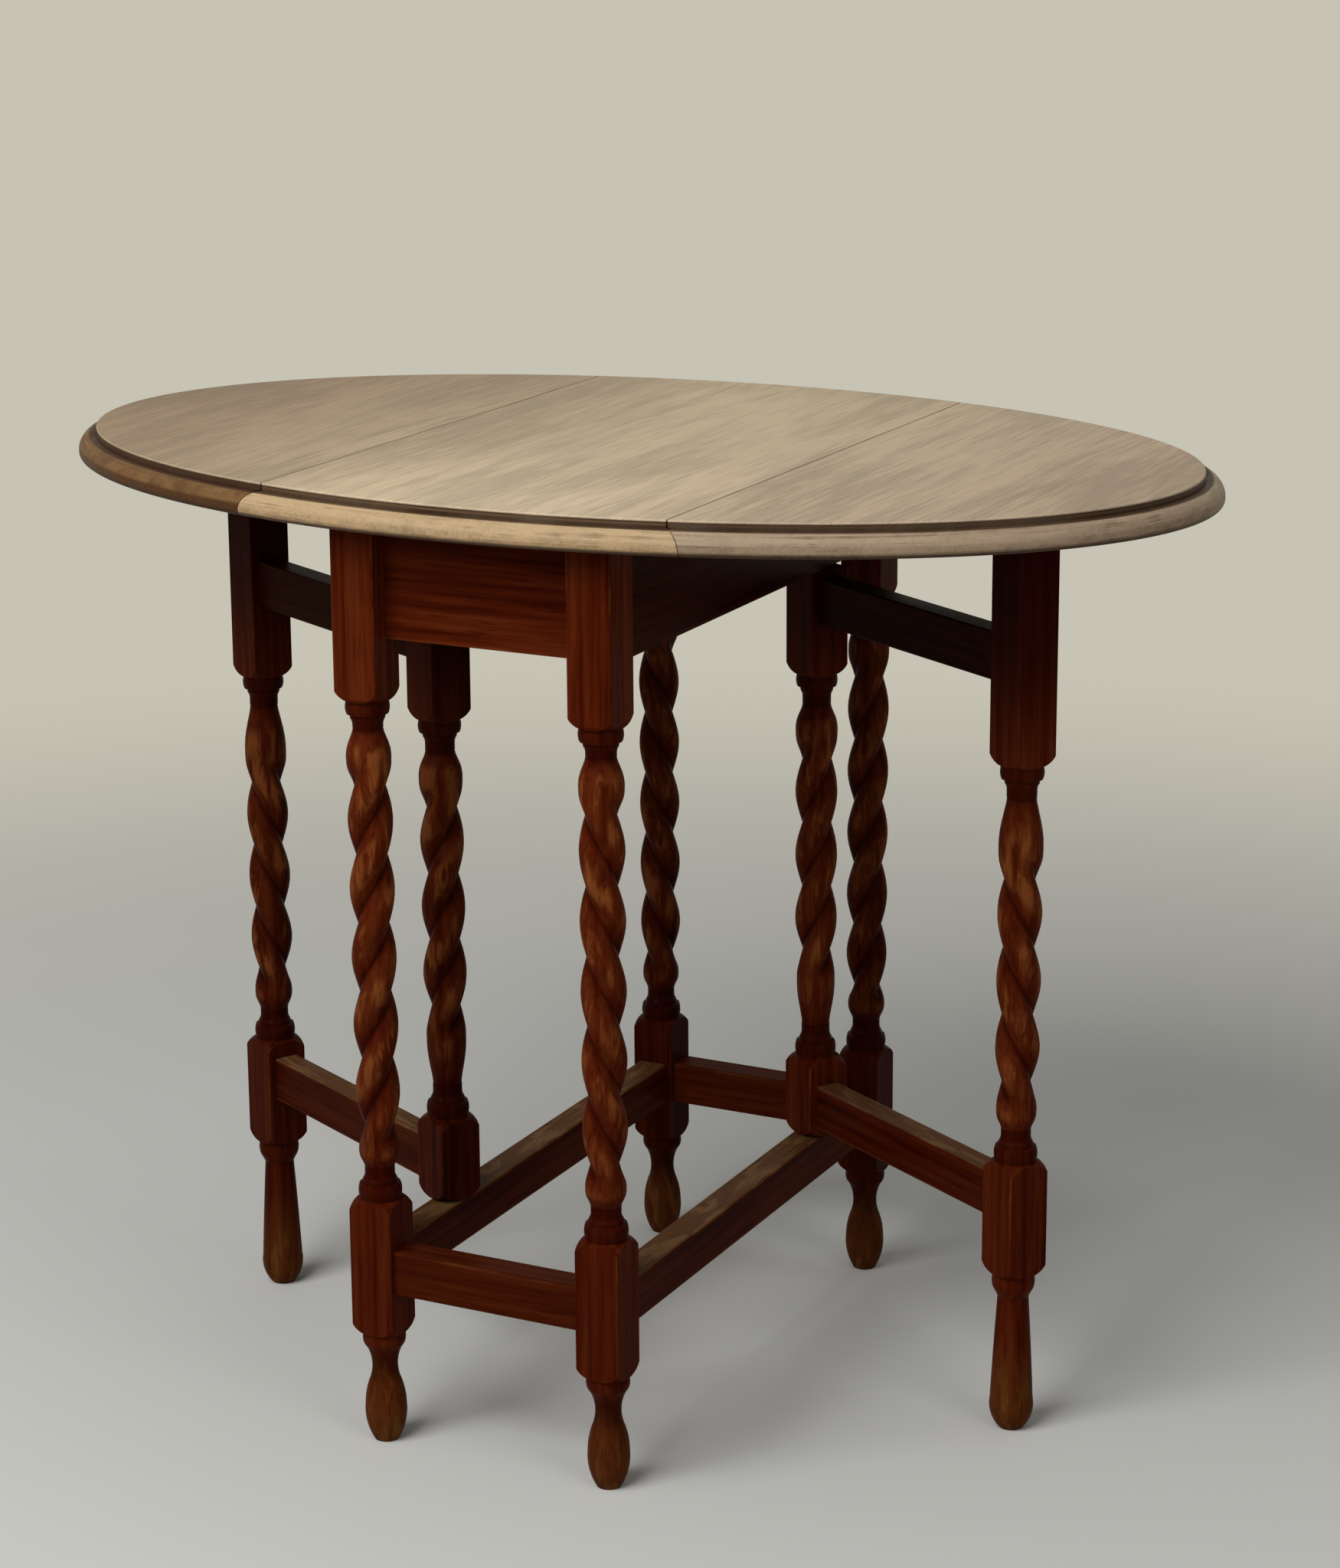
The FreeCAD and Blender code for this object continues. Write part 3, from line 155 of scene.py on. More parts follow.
class NodePad:
    """A material's node tree with short calls for the nodes that the finishes use."""

    def __init__(self, name: str, member: Member) -> None:
        """Makes a material with a surface shader and coordinates in a member's own frame.

        Args:
            name: The material's name.
            member: The member that the material is for.
        """
        self.material = bpy.data.materials.new(name)
        self.material.use_nodes = True
        self.member = member
        self.tree = self.material.node_tree
        self.tree.nodes.clear()
        self.shader = self.tree.nodes.new("ShaderNodeBsdfPrincipled")
        self.output = self.tree.nodes.new("ShaderNodeOutputMaterial")
        self.link(self.shader.outputs["BSDF"], self.output.inputs["Surface"])
        coordinates = self.tree.nodes.new("ShaderNodeTexCoord")
        mapping = self.tree.nodes.new("ShaderNodeMapping")
        mapping.vector_type = "TEXTURE"
        mapping.inputs["Location"].default_value = member.origin
        mapping.inputs["Rotation"].default_value = (0.0, 0.0, member.turn)
        self.link(coordinates.outputs["Object"], mapping.inputs["Vector"])
        self.local = mapping.outputs["Vector"]
        parts = self.tree.nodes.new("ShaderNodeSeparateXYZ")
        self.link(self.local, parts.inputs["Vector"])
        self.x, self.y, self.z = parts.outputs

    def link(self, source: Socket, target: Socket) -> None:
        """Joins two sockets."""
        self.tree.links.new(source, target)

    def feed(self, value: Socket | float | tuple, target: Socket) -> None:
        """Sets a socket to a number or colour, or joins another socket to it.

        Args:
            value: A socket, a number or a tuple of numbers.
            target: The socket that takes it.
        """
        if isinstance(value, Socket):
            self.link(value, target)
        else:
            target.default_value = value

    def surface(self, name: str, value: Socket | float | tuple) -> None:
        """Feeds one of the shader's own sockets."""
        self.feed(value, self.shader.inputs[name])

    def noise(self, figure: Figure, grain: Grain | None = None) -> Socket:
        """Cloudy noise in the member's own frame.

        Args:
            figure: How fine the noise is and how far it is drawn out.
            grain: The axis that it is drawn out along, where that isn't the member's grain.

        Returns:
            The noise's value, about 0.5 on average.
        """
        mapping = self.tree.nodes.new("ShaderNodeMapping")
        mapping.inputs["Location"].default_value = SEED_STEP * self.member.seed
        mapping.inputs["Scale"].default_value = figure.scales(grain or self.member.grain)
        self.link(self.local, mapping.inputs["Vector"])
        noise = self.tree.nodes.new("ShaderNodeTexNoise")
        noise.inputs["Scale"].default_value = 1.0
        noise.inputs["Detail"].default_value = figure.octaves
        noise.inputs["Roughness"].default_value = figure.strength
        noise.inputs["Distortion"].default_value = figure.swirl
        self.link(mapping.outputs["Vector"], noise.inputs["Vector"])
        return noise.outputs["Fac"]

    def maths(self, operation: str, first: Socket | float, second: Socket | float = 0.0) -> Socket:
        """One step of arithmetic on two sockets or numbers.

        Args:
            operation: The operation's name.
            first: The first socket or number.
            second: The second socket or number.

        Returns:
            The result's socket.
        """
        node = self.tree.nodes.new("ShaderNodeMath")
        node.operation = operation
        self.feed(first, node.inputs[0])
        self.feed(second, node.inputs[1])
        return node.outputs["Value"]

    def both(self, *masks: Socket | float) -> Socket | float:
        """The product of several masks.

        Args:
            masks: The masks, as sockets or numbers.

        Returns:
            The product.
        """
        result = masks[0]
        for mask in masks[1:]:
            result = self.maths("MULTIPLY", result, mask)
        return result

    def either(self, first: Socket, second: Socket) -> Socket:
        """The larger of two masks."""
        return self.maths("MAXIMUM", first, second)

    def size(self, value: Socket) -> Socket:
        """A value without its sign."""
        return self.maths("ABSOLUTE", value)

    def linear(self, value: Socket, slope: float, start: float) -> Socket:
        """A value times a slope, added to a start."""
        return self.maths("ADD", self.maths("MULTIPLY", value, slope), start)

    def blend(self, *shares: tuple[Socket, float]) -> Socket:
        """A weighted sum of sockets.

        Args:
            shares: Pairs of a socket and its weight.

        Returns:
            The sum's socket.
        """
        total: Socket | float = 0.0
        for value, weight in shares:
            total = self.maths("ADD", total, self.maths("MULTIPLY", value, weight))
        return total

    def fade(self, value: Socket, fade: Fade) -> Socket:
        """A smooth change that follows a value.

        Args:
            value: The value that is read.
            fade: The change.

        Returns:
            The result's socket.
        """
        node = self.tree.nodes.new("ShaderNodeMapRange")
        node.interpolation_type = "SMOOTHSTEP"
        self.link(value, node.inputs["Value"])
        node.inputs["From Min"].default_value = fade.low
        node.inputs["From Max"].default_value = fade.high
        node.inputs["To Min"].default_value = fade.start
        node.inputs["To Max"].default_value = fade.end
        return node.outputs["Result"]

    def band(self, value: Socket, low: float, high: float, soft: float) -> Socket:
        """A mask that is 1 between two values and fades out over a soft edge on each side.

        Args:
            value: The value that is read.
            low: The band's lower edge.
            high: The band's upper edge.
            soft: The width of each soft edge.

        Returns:
            The mask's socket.
        """
        rising = self.fade(value, Fade(low - soft, low))
        return self.both(rising, self.fade(value, Fade(high, high + soft, 1.0, 0.0)))

    def ramp(self, value: Socket, stops: Sequence[tuple[float, Colour]]) -> Socket:
        """A colour that depends on a value.

        Args:
            value: The value that is read.
            stops: Pairs of a value and the colour there, in rising order.

        Returns:
            The colour's socket.
        """
        node = self.tree.nodes.new("ShaderNodeValToRGB")
        elements = node.color_ramp.elements
        while len(elements) < len(stops):
            elements.new(1.0)
        for element, (position, colour) in zip(elements, stops):
            element.position = position
            element.color = (*colour, 1.0)
        self.link(value, node.inputs["Fac"])
        return node.outputs["Color"]

    def mix(self, share: Socket | float, first: Socket | Colour, second: Socket | Colour) -> Socket:
        """Two colours mixed by a share.

        Args:
            share: How much of the second colour.
            first: The first colour.
            second: The second colour.

        Returns:
            The mixed colour's socket.
        """
        node = self.tree.nodes.new("ShaderNodeMix")
        node.data_type = "RGBA"
        self.feed(share, node.inputs["Factor"])
        sockets = [socket for socket in node.inputs if socket.type == "RGBA"]
        for value, socket in zip((first, second), sockets):
            self.feed((*value, 1.0) if isinstance(value, tuple) else value, socket)
        return next(socket for socket in node.outputs if socket.type == "RGBA")

    def scale(self, colour: Socket, factor: Socket | float) -> Socket:
        """A colour made darker or paler by a factor.

        Args:
            colour: The colour.
            factor: The factor.

        Returns:
            The scaled colour's socket.
        """
        node = self.tree.nodes.new("ShaderNodeVectorMath")
        node.operation = "SCALE"
        self.link(colour, node.inputs[0])
        self.feed(factor, node.inputs["Scale"])
        return node.outputs["Vector"]

    def bump(self, height: Socket, relief: Relief) -> None:
        """Roughens the shader's surface.

        Args:
            height: The height that is read.
            relief: How strong and how high the roughness is.
        """
        node = self.tree.nodes.new("ShaderNodeBump")
        node.inputs["Strength"].default_value = relief.share
        node.inputs["Distance"].default_value = relief.height
        self.link(height, node.inputs["Height"])
        self.surface("Normal", node.outputs["Normal"])


def scaled(colour: Colour, factor: float) -> Colour:
    """A colour made darker or paler."""
    red, green, blue = colour
    return (red * factor, green * factor, blue * factor)


@dataclass(frozen=True)
class StainedOak:
    """Dark red-brown stained oak with a thin polish, rubbed paler where hands and shoes touch it, partly as
    a painted highlight, with painted shade low down and under the leaves.

    Crests, valleys and corners are measured from a turned piece's axis, a bar's edges and top from its
    faces, and the foot and the levels of painted shade from the floor.
    """

    deep: Colour = (0.020, 0.0010, 0.0003)
    middle: Colour = (0.078, 0.0100, 0.0018)
    light: Colour = (0.120, 0.0250, 0.0058)
    # Paler rubbed wear, partly a painted highlight on crests, corners and edges.
    rubbed_and_highlight: Colour = (0.225, 0.0640, 0.0155)
    # Scuffed tops, partly a painted reflection of the pale surround.
    scuffed_and_reflection: Colour = (0.180, 0.0950, 0.0390)
    worn_foot: Colour = (0.125, 0.0480, 0.0110)
    tone_stops: tuple[float, float, float] = (0.30, 0.50, 0.70)

    figure: Figure = Figure(20.0, 3.0, 3.0, 0.5, 0.5)
    figure_share: float = 0.3
    streaks: Figure = Figure(170.0, 6.0, 4.0, 0.6)
    streak_share: float = 0.7
    pores: Figure = Figure(480.0, 30.0, 2.0, 0.5)
    pore_stain: Fade = Fade(0.58, 0.72, 0.0, 0.45)
    pore_depth: Fade = Fade(0.55, 0.72, 0.0, 0.8)
    patches: Figure = Figure(120.0, 24.0, 4.0, 0.6, 0.4)
    patch_edge: Fade = Fade(0.44, 0.66)
    polish: Fade = Fade(0.3, 0.7, 0.28, 0.46)
    sheen_level: float = 0.012
    relief: Relief = Relief(0.08, 0.0003)

    crest: Fade = Fade(0.0130, 0.0160)
    corner: Fade = Fade(0.0156, 0.0168)
    corner_share: float = 0.55
    rub_and_highlight_patch: float = 0.85
    rub_and_highlight_least: float = 0.04
    valley_radius: float = 0.0085
    valley_shade: float = 0.95
    twist_soft: float = 0.012
    collar_height: float = 0.022
    collar_soft: float = 0.003
    collar_shade: float = 0.60
    # Painted shade: turned pieces are darkened towards the floor, and high up where a leaf shades them.
    low_level: float = 0.08
    leaf_shade_level: float = 0.50
    high_level: float = 0.60
    low_shade: float = 0.35
    high_shade: float = 0.0
    foot: Fade = Fade(0.010, 0.085, 0.75, 0.0)
    foot_patch: Fade = Fade(0.0, 1.0, 0.4, 1.0)

    edge: Fade = Fade(-0.0028, -0.0006)
    edge_patch: float = 0.6
    edge_least: float = 0.15
    sheltered_share: float = 0.6
    top_face: Fade = Fade(-0.0012, -0.0003, 0.0, 0.8)
    top_patch: Fade = Fade(0.0, 1.0, 0.45, 1.0)

    def darker(self, factor: float) -> "StainedOak":
        """The same finish with its stain darker by a factor."""
        return replace(self, deep=scaled(self.deep, factor), middle=scaled(self.middle, factor),
                       light=scaled(self.light, factor), rubbed_and_highlight=scaled(self.rubbed_and_highlight, factor))

    def material(self, name: str, member: Member, wear: Wear) -> bpy.types.Material:
        """The finish for one member of the base.

        Args:
            name: The material's name.
            member: The member's own frame.
            wear: How the member has been used.

        Returns:
            The material.
        """
        pad = NodePad(name, member)
        figure = pad.noise(self.figure)
        streaks = pad.noise(self.streaks)
        pores = pad.noise(self.pores)
        tone = pad.blend((figure, self.figure_share), (streaks, self.streak_share))
        colour = pad.ramp(tone, tuple(zip(self.tone_stops, (self.deep, self.middle, self.light))))
        patches = pad.fade(pad.noise(self.patches), self.patch_edge)
        if wear is Wear.TURNED:
            colour = self.turned_wear(pad, colour, patches)
        else:
            colour = self.bar_wear(pad, colour, patches, wear)
        pad.surface("Base Color", pad.mix(pad.fade(pores, self.pore_stain), colour, self.deep))
        pad.surface("Roughness", pad.fade(figure, self.polish))
        pad.surface("Specular IOR Level", self.sheen_level)
        pad.bump(pad.maths("SUBTRACT", streaks, pad.fade(pores, self.pore_depth)), self.relief)
        return pad.material

    def turned_wear(self, pad: NodePad, colour: Socket, patches: Socket) -> Socket:
        """Rubs the crests, corners and foot of a turned member, with a painted highlight on the crests and
        corners, leaves its hollows and collars dark, and paints shade low down and high up under a leaf.

        Args:
            pad: The material's node tree.
            colour: The unworn colour.
            patches: A mask of patches that are more worn.

        Returns:
            The worn colour.
        """
        radius = pad.maths("SQRT", pad.maths("ADD", pad.both(pad.x, pad.x), pad.both(pad.y, pad.y)))
        least = pad.maths("MINIMUM", pad.size(pad.x), pad.size(pad.y))
        corner = pad.both(pad.fade(least, self.corner), self.corner_share)
        low_end, high_end = pad.member.twist
        in_twist = pad.band(pad.z, low_end + self.twist_soft, high_end - self.twist_soft, self.twist_soft)
        crest = pad.both(pad.fade(radius, self.crest), in_twist)
        # Crests and corners: rubbed paler, partly real wear and partly a painted highlight.
        rub_and_highlight = pad.both(pad.either(corner, crest), pad.linear(patches, self.rub_and_highlight_patch, self.rub_and_highlight_least))
        colour = pad.mix(rub_and_highlight, colour, self.rubbed_and_highlight)
        lower = pad.band(pad.z, low_end - self.collar_height, low_end, self.collar_soft)
        upper = pad.band(pad.z, high_end, high_end + self.collar_height, self.collar_soft)
        colour = pad.mix(pad.both(pad.either(lower, upper), self.collar_shade), colour, self.deep)
        # Painted shade: darker towards the floor, and darker high up under a leaf.
        low = pad.fade(pad.z, Fade(self.low_level, self.high_level, self.low_shade, 0.0))
        high = pad.fade(pad.z, Fade(self.leaf_shade_level, self.high_level, 0.0, self.high_shade))
        colour = pad.mix(pad.either(low, high), colour, self.deep)
        valley = pad.fade(radius, Fade(self.valley_radius, self.crest.low, self.valley_shade, 0.0))
        colour = pad.mix(valley, colour, self.deep)
        foot = pad.both(pad.fade(pad.z, self.foot), pad.fade(patches, self.foot_patch))
        return pad.mix(foot, colour, self.worn_foot)

    def bar_wear(self, pad: NodePad, colour: Socket, patches: Socket, wear: Wear) -> Socket:
        """Rubs the edges of a bar paler, partly as a painted highlight, and makes the top of a bar that
        shoes rest on paler, partly scuffed and partly a painted reflection.

        Args:
            pad: The material's node tree.
            colour: The unworn colour.
            patches: A mask of patches that are more worn.
            wear: How the bar has been used.

        Returns:
            The worn colour.
        """
        member = pad.member
        sideways = pad.size(pad.y if member.grain is Grain.ALONG_X else pad.x)
        near_side = pad.fade(sideways, self.edge.at(member.half_width))
        near_top = pad.fade(pad.size(pad.z), self.edge.at(member.half_height))
        # Edges: rubbed paler, partly real wear and partly a painted highlight.
        edges = pad.both(near_side, near_top, pad.linear(patches, self.edge_patch, self.edge_least))
        if wear is Wear.SHELTERED:
            return pad.mix(pad.both(edges, self.sheltered_share), colour, self.rubbed_and_highlight)
        colour = pad.mix(edges, colour, self.rubbed_and_highlight)
        # Trodden top: scuffed paler, partly real wear and partly a painted reflection.
        top_face = pad.fade(pad.z, self.top_face.at(member.half_height))
        return pad.mix(pad.both(top_face, pad.fade(patches, self.top_patch)), colour, self.scuffed_and_reflection)


@dataclass(frozen=True)
class BleachedOak:
    """Stripped and bleached oak, with brown stain left in the rim's step, along the rim and below, painted
    shade in the step and under the rim, and painted light towards the front.

    The field's tones are given from the left end of the oval to the right end, as shares of its length.
    The lines round the rim are measured from its step, but the worn edge from the top face. The lower edge
    and the bare underside are measured from the underside.
    """

    rim_tone: Colour
    crown_tone: Colour
    bead_tone: Colour = (0.170, 0.096, 0.046)
    # Dark brown of the step and the rim's lower edge: partly stain, partly painted shade.
    step_stain_and_shade: Colour = (0.032, 0.012, 0.004)
    edge_tone: Colour = (0.560, 0.440, 0.290)
    underside_tone: Colour = (0.110, 0.058, 0.028)
    field_tones: tuple[tuple[float, Colour], ...] = (
        (0.000, (0.285, 0.196, 0.124)),
        (0.165, (0.330, 0.236, 0.153)),
        (0.325, (0.400, 0.304, 0.200)),
        (0.467, (0.480, 0.381, 0.252)),
        (0.675, (0.455, 0.355, 0.240)),
        (0.810, (0.424, 0.325, 0.224)),
        (1.000, (0.400, 0.300, 0.205)),
    )
    field_length: float = 0.896
    field_shade: float = 1.0
    field_grain: Fade = Fade(0.40, 0.60, 0.80, 1.21)
    # Painted light: the field is made paler from here towards the front edge.
    front_line: float = -0.27
    front_painted_light: float = 1.0

    patches: Figure = Figure(9.0, 3.0, 3.0, 0.55, 0.7)
    patch_share: float = 0.34
    streaks: Figure = Figure(70.0, 3.5, 4.0, 0.6, 0.3)
    streak_share: float = 0.30
    fibres: Figure = Figure(480.0, 16.0, 3.0, 0.6)
    fibre_share: float = 0.36
    pores: Figure = Figure(800.0, 34.0, 2.0, 0.5)
    pore_shade: Fade = Fade(0.58, 0.72, 1.0, 0.84)
    pore_depth: Fade = Fade(0.56, 0.74, 0.0, 0.8)
    dullness: Fade = Fade(0.3, 0.7, 0.44, 0.58)
    sheen_level: float = 0.14
    relief: Relief = Relief(0.2, 0.0003)

    rim_top: Fade = Fade(0.0, 0.0004, 1.0, 0.0)
    rim_shades: tuple[tuple[float, float], ...] = ((0.36, 0.62), (0.52, 1.0), (0.66, 1.15))
    stain_lines: Figure = Figure(7.0, 620.0, 3.0, 0.6)
    line_share: float = 0.55
    stain_spots: Figure = Figure(45.0, 90.0, 4.0, 0.6)
    spot_share: float = 0.45
    stain_edge: Fade = Fade(0.50, 0.66, 0.0, 0.65)
    crown: RimLine = RimLine(-0.0070, -0.0015, 0.0025, Fade(0.35, 0.60, 0.35, 0.9))
    # The riser's dark band: stain in the step, partly painted shade in its inner corner.
    riser: RimLine = RimLine(-0.0004, 0.0040, 0.0006, Fade(0.30, 0.62, 0.98, 0.88))
    bead: RimLine = RimLine(0.0019, 0.0028, 0.0005, Fade(0.36, 0.60, 0.75, 0.25))
    worn_edge: RimLine = RimLine(-0.0007, -0.0003, 0.0003, Fade(0.35, 0.65, 0.25, 0.8))
    # Darker lower edge of the rim: partly stain, partly painted shade under it.
    lower_edge: Fade = Fade(0.0015, 0.0048, 0.9, 0.0)
    bare_underside: Fade = Fade(0.0001, 0.0012, 1.0, 0.0)

    def material(self, name: str, member: Member, levels: RimLevels) -> bpy.types.Material:
        """The finish for one board of the top.

        Args:
            name: The material's name.
            member: The board's own frame.
            levels: The heights of the board's faces.

        Returns:
            The material.
        """
        pad = NodePad(name, member)
        patches = pad.noise(self.patches)
        streaks = pad.noise(self.streaks)
        fibres = pad.noise(self.fibres)
        tone = pad.blend((patches, self.patch_share), (streaks, self.streak_share),
                         (fibres, self.fibre_share))
        colour = self.open_field(pad, tone)
        in_rim = pad.fade(pad.z, self.rim_top.at(levels.step))
        colour = pad.mix(in_rim, colour, self.rim(pad, tone, levels.step))
        colour = self.stain_shade_and_wear_lines(pad, colour, patches, levels)
        pores = pad.noise(self.pores)
        colour = pad.scale(colour, pad.fade(pores, self.pore_shade))
        below = pad.fade(pad.z, self.bare_underside.at(levels.underside))
        pad.surface("Base Color", pad.mix(below, colour, self.underside_tone))
        pad.surface("Roughness", pad.fade(streaks, self.dullness))
        pad.surface("Specular IOR Level", self.sheen_level)
        pad.bump(pad.maths("SUBTRACT", fibres, pad.fade(pores, self.pore_depth)), self.relief)
        return pad.material

    def open_field(self, pad: NodePad, tone: Socket) -> Socket:
        """The open field's colour, which changes from end to end and is paler towards the front, where
        light is painted onto it.

        Args:
            pad: The material's node tree.
            tone: The grain's tone.

        Returns:
            The field's colour.
        """
        share = pad.maths("ADD", pad.maths("DIVIDE", pad.x, self.field_length), 0.5)
        grain = pad.fade(tone, self.field_grain.shaded(self.field_shade))
        # Painted light: paler towards the front.
        painted_front_light = pad.fade(pad.y, Fade(self.front_line, 0.0, self.front_painted_light, 1.0))
        return pad.scale(pad.ramp(share, self.field_tones), pad.both(grain, painted_front_light))

    def rim(self, pad: NodePad, tone: Socket, step: float) -> Socket:
        """The rim's colour, worn on its crown, with stain left in lines along it and in patches.

        Args:
            pad: The material's node tree.
            tone: The grain's tone.
            step: The height of the rim's step.

        Returns:
            The rim's colour.
        """
        stops = [(stop, scaled(self.rim_tone, shade)) for stop, shade in self.rim_shades]
        colour = pad.ramp(tone, stops)
        lines = pad.noise(self.stain_lines, Grain.ALONG_Z)
        spots = pad.noise(self.stain_spots, Grain.ALONG_Z)
        stain = pad.blend((lines, self.line_share), (spots, self.spot_share))
        colour = pad.mix(self.rim_line(pad, self.crown, step, spots), colour, self.crown_tone)
        return pad.mix(pad.fade(stain, self.stain_edge), colour, self.bead_tone)

    def rim_line(self, pad: NodePad, line: RimLine, level: float, noise: Socket) -> Socket:
        """The mask of one line round the rim.

        Args:
            pad: The material's node tree.
            line: The line.
            level: The height that the line is measured from.
            noise: Noise that makes the line uneven.

        Returns:
            The mask's socket.
        """
        band = pad.band(pad.z, level + line.low, level + line.high, line.soft)
        return pad.both(band, pad.fade(noise, line.wear))

    def stain_shade_and_wear_lines(self, pad: NodePad, colour: Socket, patches: Socket, levels: RimLevels) -> Socket:
        """Dark lines in the rim's step and under the rim, partly stain left there and partly painted shade,
        and a worn line round the field.

        Args:
            pad: The material's node tree.
            colour: The clean colour.
            patches: Noise that makes the lines uneven.
            levels: The heights of the board's faces.

        Returns:
            The colour with its lines.
        """
        # The riser's dark line and the lower edge are partly stain and partly painted shade.
        lines = ((self.riser, levels.step, self.step_stain_and_shade), (self.bead, levels.step, self.bead_tone),
                 (self.worn_edge, levels.top, self.edge_tone))
        for line, level, tone in lines:
            colour = pad.mix(self.rim_line(pad, line, level, patches), colour, tone)
        return pad.mix(pad.fade(pad.z, self.lower_edge.at(levels.underside)), colour, self.step_stain_and_shade)


@dataclass(frozen=True)
class SawnOak:
    """Plain oak of the blocks under the top, sawn and never polished."""

    dark: Colour = (0.150, 0.082, 0.038)
    bright: Colour = (0.300, 0.185, 0.095)
    tone_stops: tuple[float, float] = (0.35, 0.65)
    streaks: Figure = Figure(160.0, 9.0, 5.0, 0.6)
    roughness: float = 0.75
    relief: Relief = Relief(0.3, 0.0004)

    def material(self, name: str, member: Member) -> bpy.types.Material:
        """The finish for one block.

        Args:
            name: The material's name.
            member: The block's own frame.

        Returns:
            The material.
        """
        pad = NodePad(name, member)
        streaks = pad.noise(self.streaks)
        pad.surface("Base Color", pad.ramp(streaks, tuple(zip(self.tone_stops, (self.dark, self.bright)))))
        pad.surface("Roughness", self.roughness)
        pad.bump(streaks, self.relief)
        return pad.material


@dataclass(frozen=True)
class AgedMetal:
    """Iron or steel that has gone brown and dull in places."""

    clean: Colour
    browned: Colour
    roughness: float
    dulled: float = 0.2
    metallic: float = 0.9
    tone_stops: tuple[float, float] = (0.38, 0.60)
    clouds: Figure = Figure(140.0, 140.0, 5.0, 0.65)
    cloud_edge: Fade = Fade(0.35, 0.65)
    relief: Relief = Relief(0.2, 0.0002)

    def material(self, name: str, member: Member) -> bpy.types.Material:
        """The finish for one piece of metal.

        Args:
            name: The material's name.
            member: The piece's own frame.

        Returns:
            The material.
        """
        pad = NodePad(name, member)
        clouds = pad.noise(self.clouds)
        pad.surface("Base Color", pad.ramp(clouds, tuple(zip(self.tone_stops, (self.browned, self.clean)))))
        wear = replace(self.cloud_edge, start=self.roughness + self.dulled, end=self.roughness)
        pad.surface("Roughness", pad.fade(clouds, wear))
        pad.surface("Metallic", self.metallic)
        pad.bump(clouds, self.relief)
        return pad.material


def middle_of(node: str) -> Vector:
    """The middle of a node's box at rest."""
    low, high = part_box(node)
    return (low + high) / 2


def axis_of(node: str) -> Vector:
    """The point on the floor below the middle of an upright node."""
    middle = middle_of(node)
    return Vector((middle.x, middle.y, 0.0))


def dress(node: str, material: bpy.types.Material) -> None:
    """Gives a carried-over node its finish.

    Args:
        node: The node's name.
        material: The finish.
    """
    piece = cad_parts[node]
    piece.data.materials.clear()
    piece.data.materials.append(material)
    LOG.info("%s: %s", node, material.name)


@dataclass
class TopBoards:
    """The centre panel and the two leaves."""

    rim_step: float = 0.0056
    # The panel is given painted light towards its front.
    panel: BleachedOak = BleachedOak(
        rim_tone=(0.430, 0.295, 0.158), crown_tone=(0.480, 0.342, 0.192), front_painted_light=1.20)
    left_leaf: BleachedOak = BleachedOak(
        rim_tone=(0.075, 0.029, 0.008), crown_tone=(0.185, 0.098, 0.036),
        bead_tone=(0.060, 0.024, 0.008), field_shade=0.98)
    right_leaf: BleachedOak = BleachedOak(
        rim_tone=(0.300, 0.214, 0.138), crown_tone=(0.375, 0.280, 0.188),
        bead_tone=(0.105, 0.058, 0.028), field_shade=0.98)

    def dress(self) -> None:
        """Finishes each board with its grain along the hinge lines."""
        finishes = {"centre_panel": self.panel, "leaf_left": self.left_leaf, "leaf_right": self.right_leaf}
        for seed, (board, finish) in enumerate(finishes.items(), start=1):
            low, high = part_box(board)
            member = Member(Vector((0.0, 0.0, 0.0)), Grain.ALONG_Y, seed=seed)
            levels = RimLevels(low.z, high.z - self.rim_step, high.z)
            dress(board, finish.material(f"bleached_oak_{board}", member, levels))


@dataclass
class CornerFrame:
    """The fixed frame: corner legs, aprons and stretchers."""

    ends: tuple[str, ...] = ("front", "back")
    sides: tuple[str, ...] = ("left", "right")
    finish: StainedOak = field(default_factory=StainedOak)
    twist: tuple[float, float] = (0.215, 0.545)
    # Painted shade: the back legs, the side aprons under the leaves and the low stretchers get darker
    # copies of the finish.
    back_shade: float = 0.65
    side_apron_shade: float = 0.35
    stretcher_shade: float = 0.62

    def dress(self) -> None:
        """Finishes the legs with upright grain and each bar with grain along it."""
        # The back legs get a darker copy of the finish: painted shade.
        leg_finishes = {"front": self.finish, "back": self.finish.darker(self.back_shade)}
        legs = [(end, f"leg_{end}_{side}") for end in self.ends for side in self.sides]
        for seed, (end, leg) in enumerate(legs, start=1):
            member = Member(axis_of(leg), Grain.ALONG_Z, seed=seed, twist=self.twist)
            dress(leg, leg_finishes[end].material(f"stained_oak_{leg}", member, Wear.TURNED))
        # Darker copies of the finish for the stretchers and side aprons: painted shade.
        stretcher = self.finish.darker(self.stretcher_shade)
        side_apron = self.finish.darker(self.side_apron_shade)
        for end in self.ends:
            self.dress_bar(f"apron_{end}", Grain.ALONG_X, self.finish, Wear.SHELTERED)
            self.dress_bar(f"stretcher_{end}", Grain.ALONG_X, stretcher, Wear.SHELTERED)
        for side in self.sides:
            self.dress_bar(f"apron_{side}", Grain.ALONG_Y, side_apron, Wear.SHELTERED)
            self.dress_bar(f"stretcher_{side}", Grain.ALONG_Y, stretcher, Wear.TRODDEN)

    def dress_bar(self, node: str, grain: Grain, finish: StainedOak, wear: Wear) -> None:
        """Finishes one straight bar.

        Args:
            node: The bar's name.
            grain: The direction that the bar lies in.
            finish: The bar's finish.
            wear: How the bar has been used.
        """
        low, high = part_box(node)
        size = high - low
        width = size.y if grain is Grain.ALONG_X else size.x
        middle = middle_of(node)
        member = Member(middle, grain, half_width=width / 2, half_height=size.z / 2,
                        seed=middle.length * SEEDS_PER_METRE)
        dress(node, finish.material(f"stained_oak_{node}", member, wear))


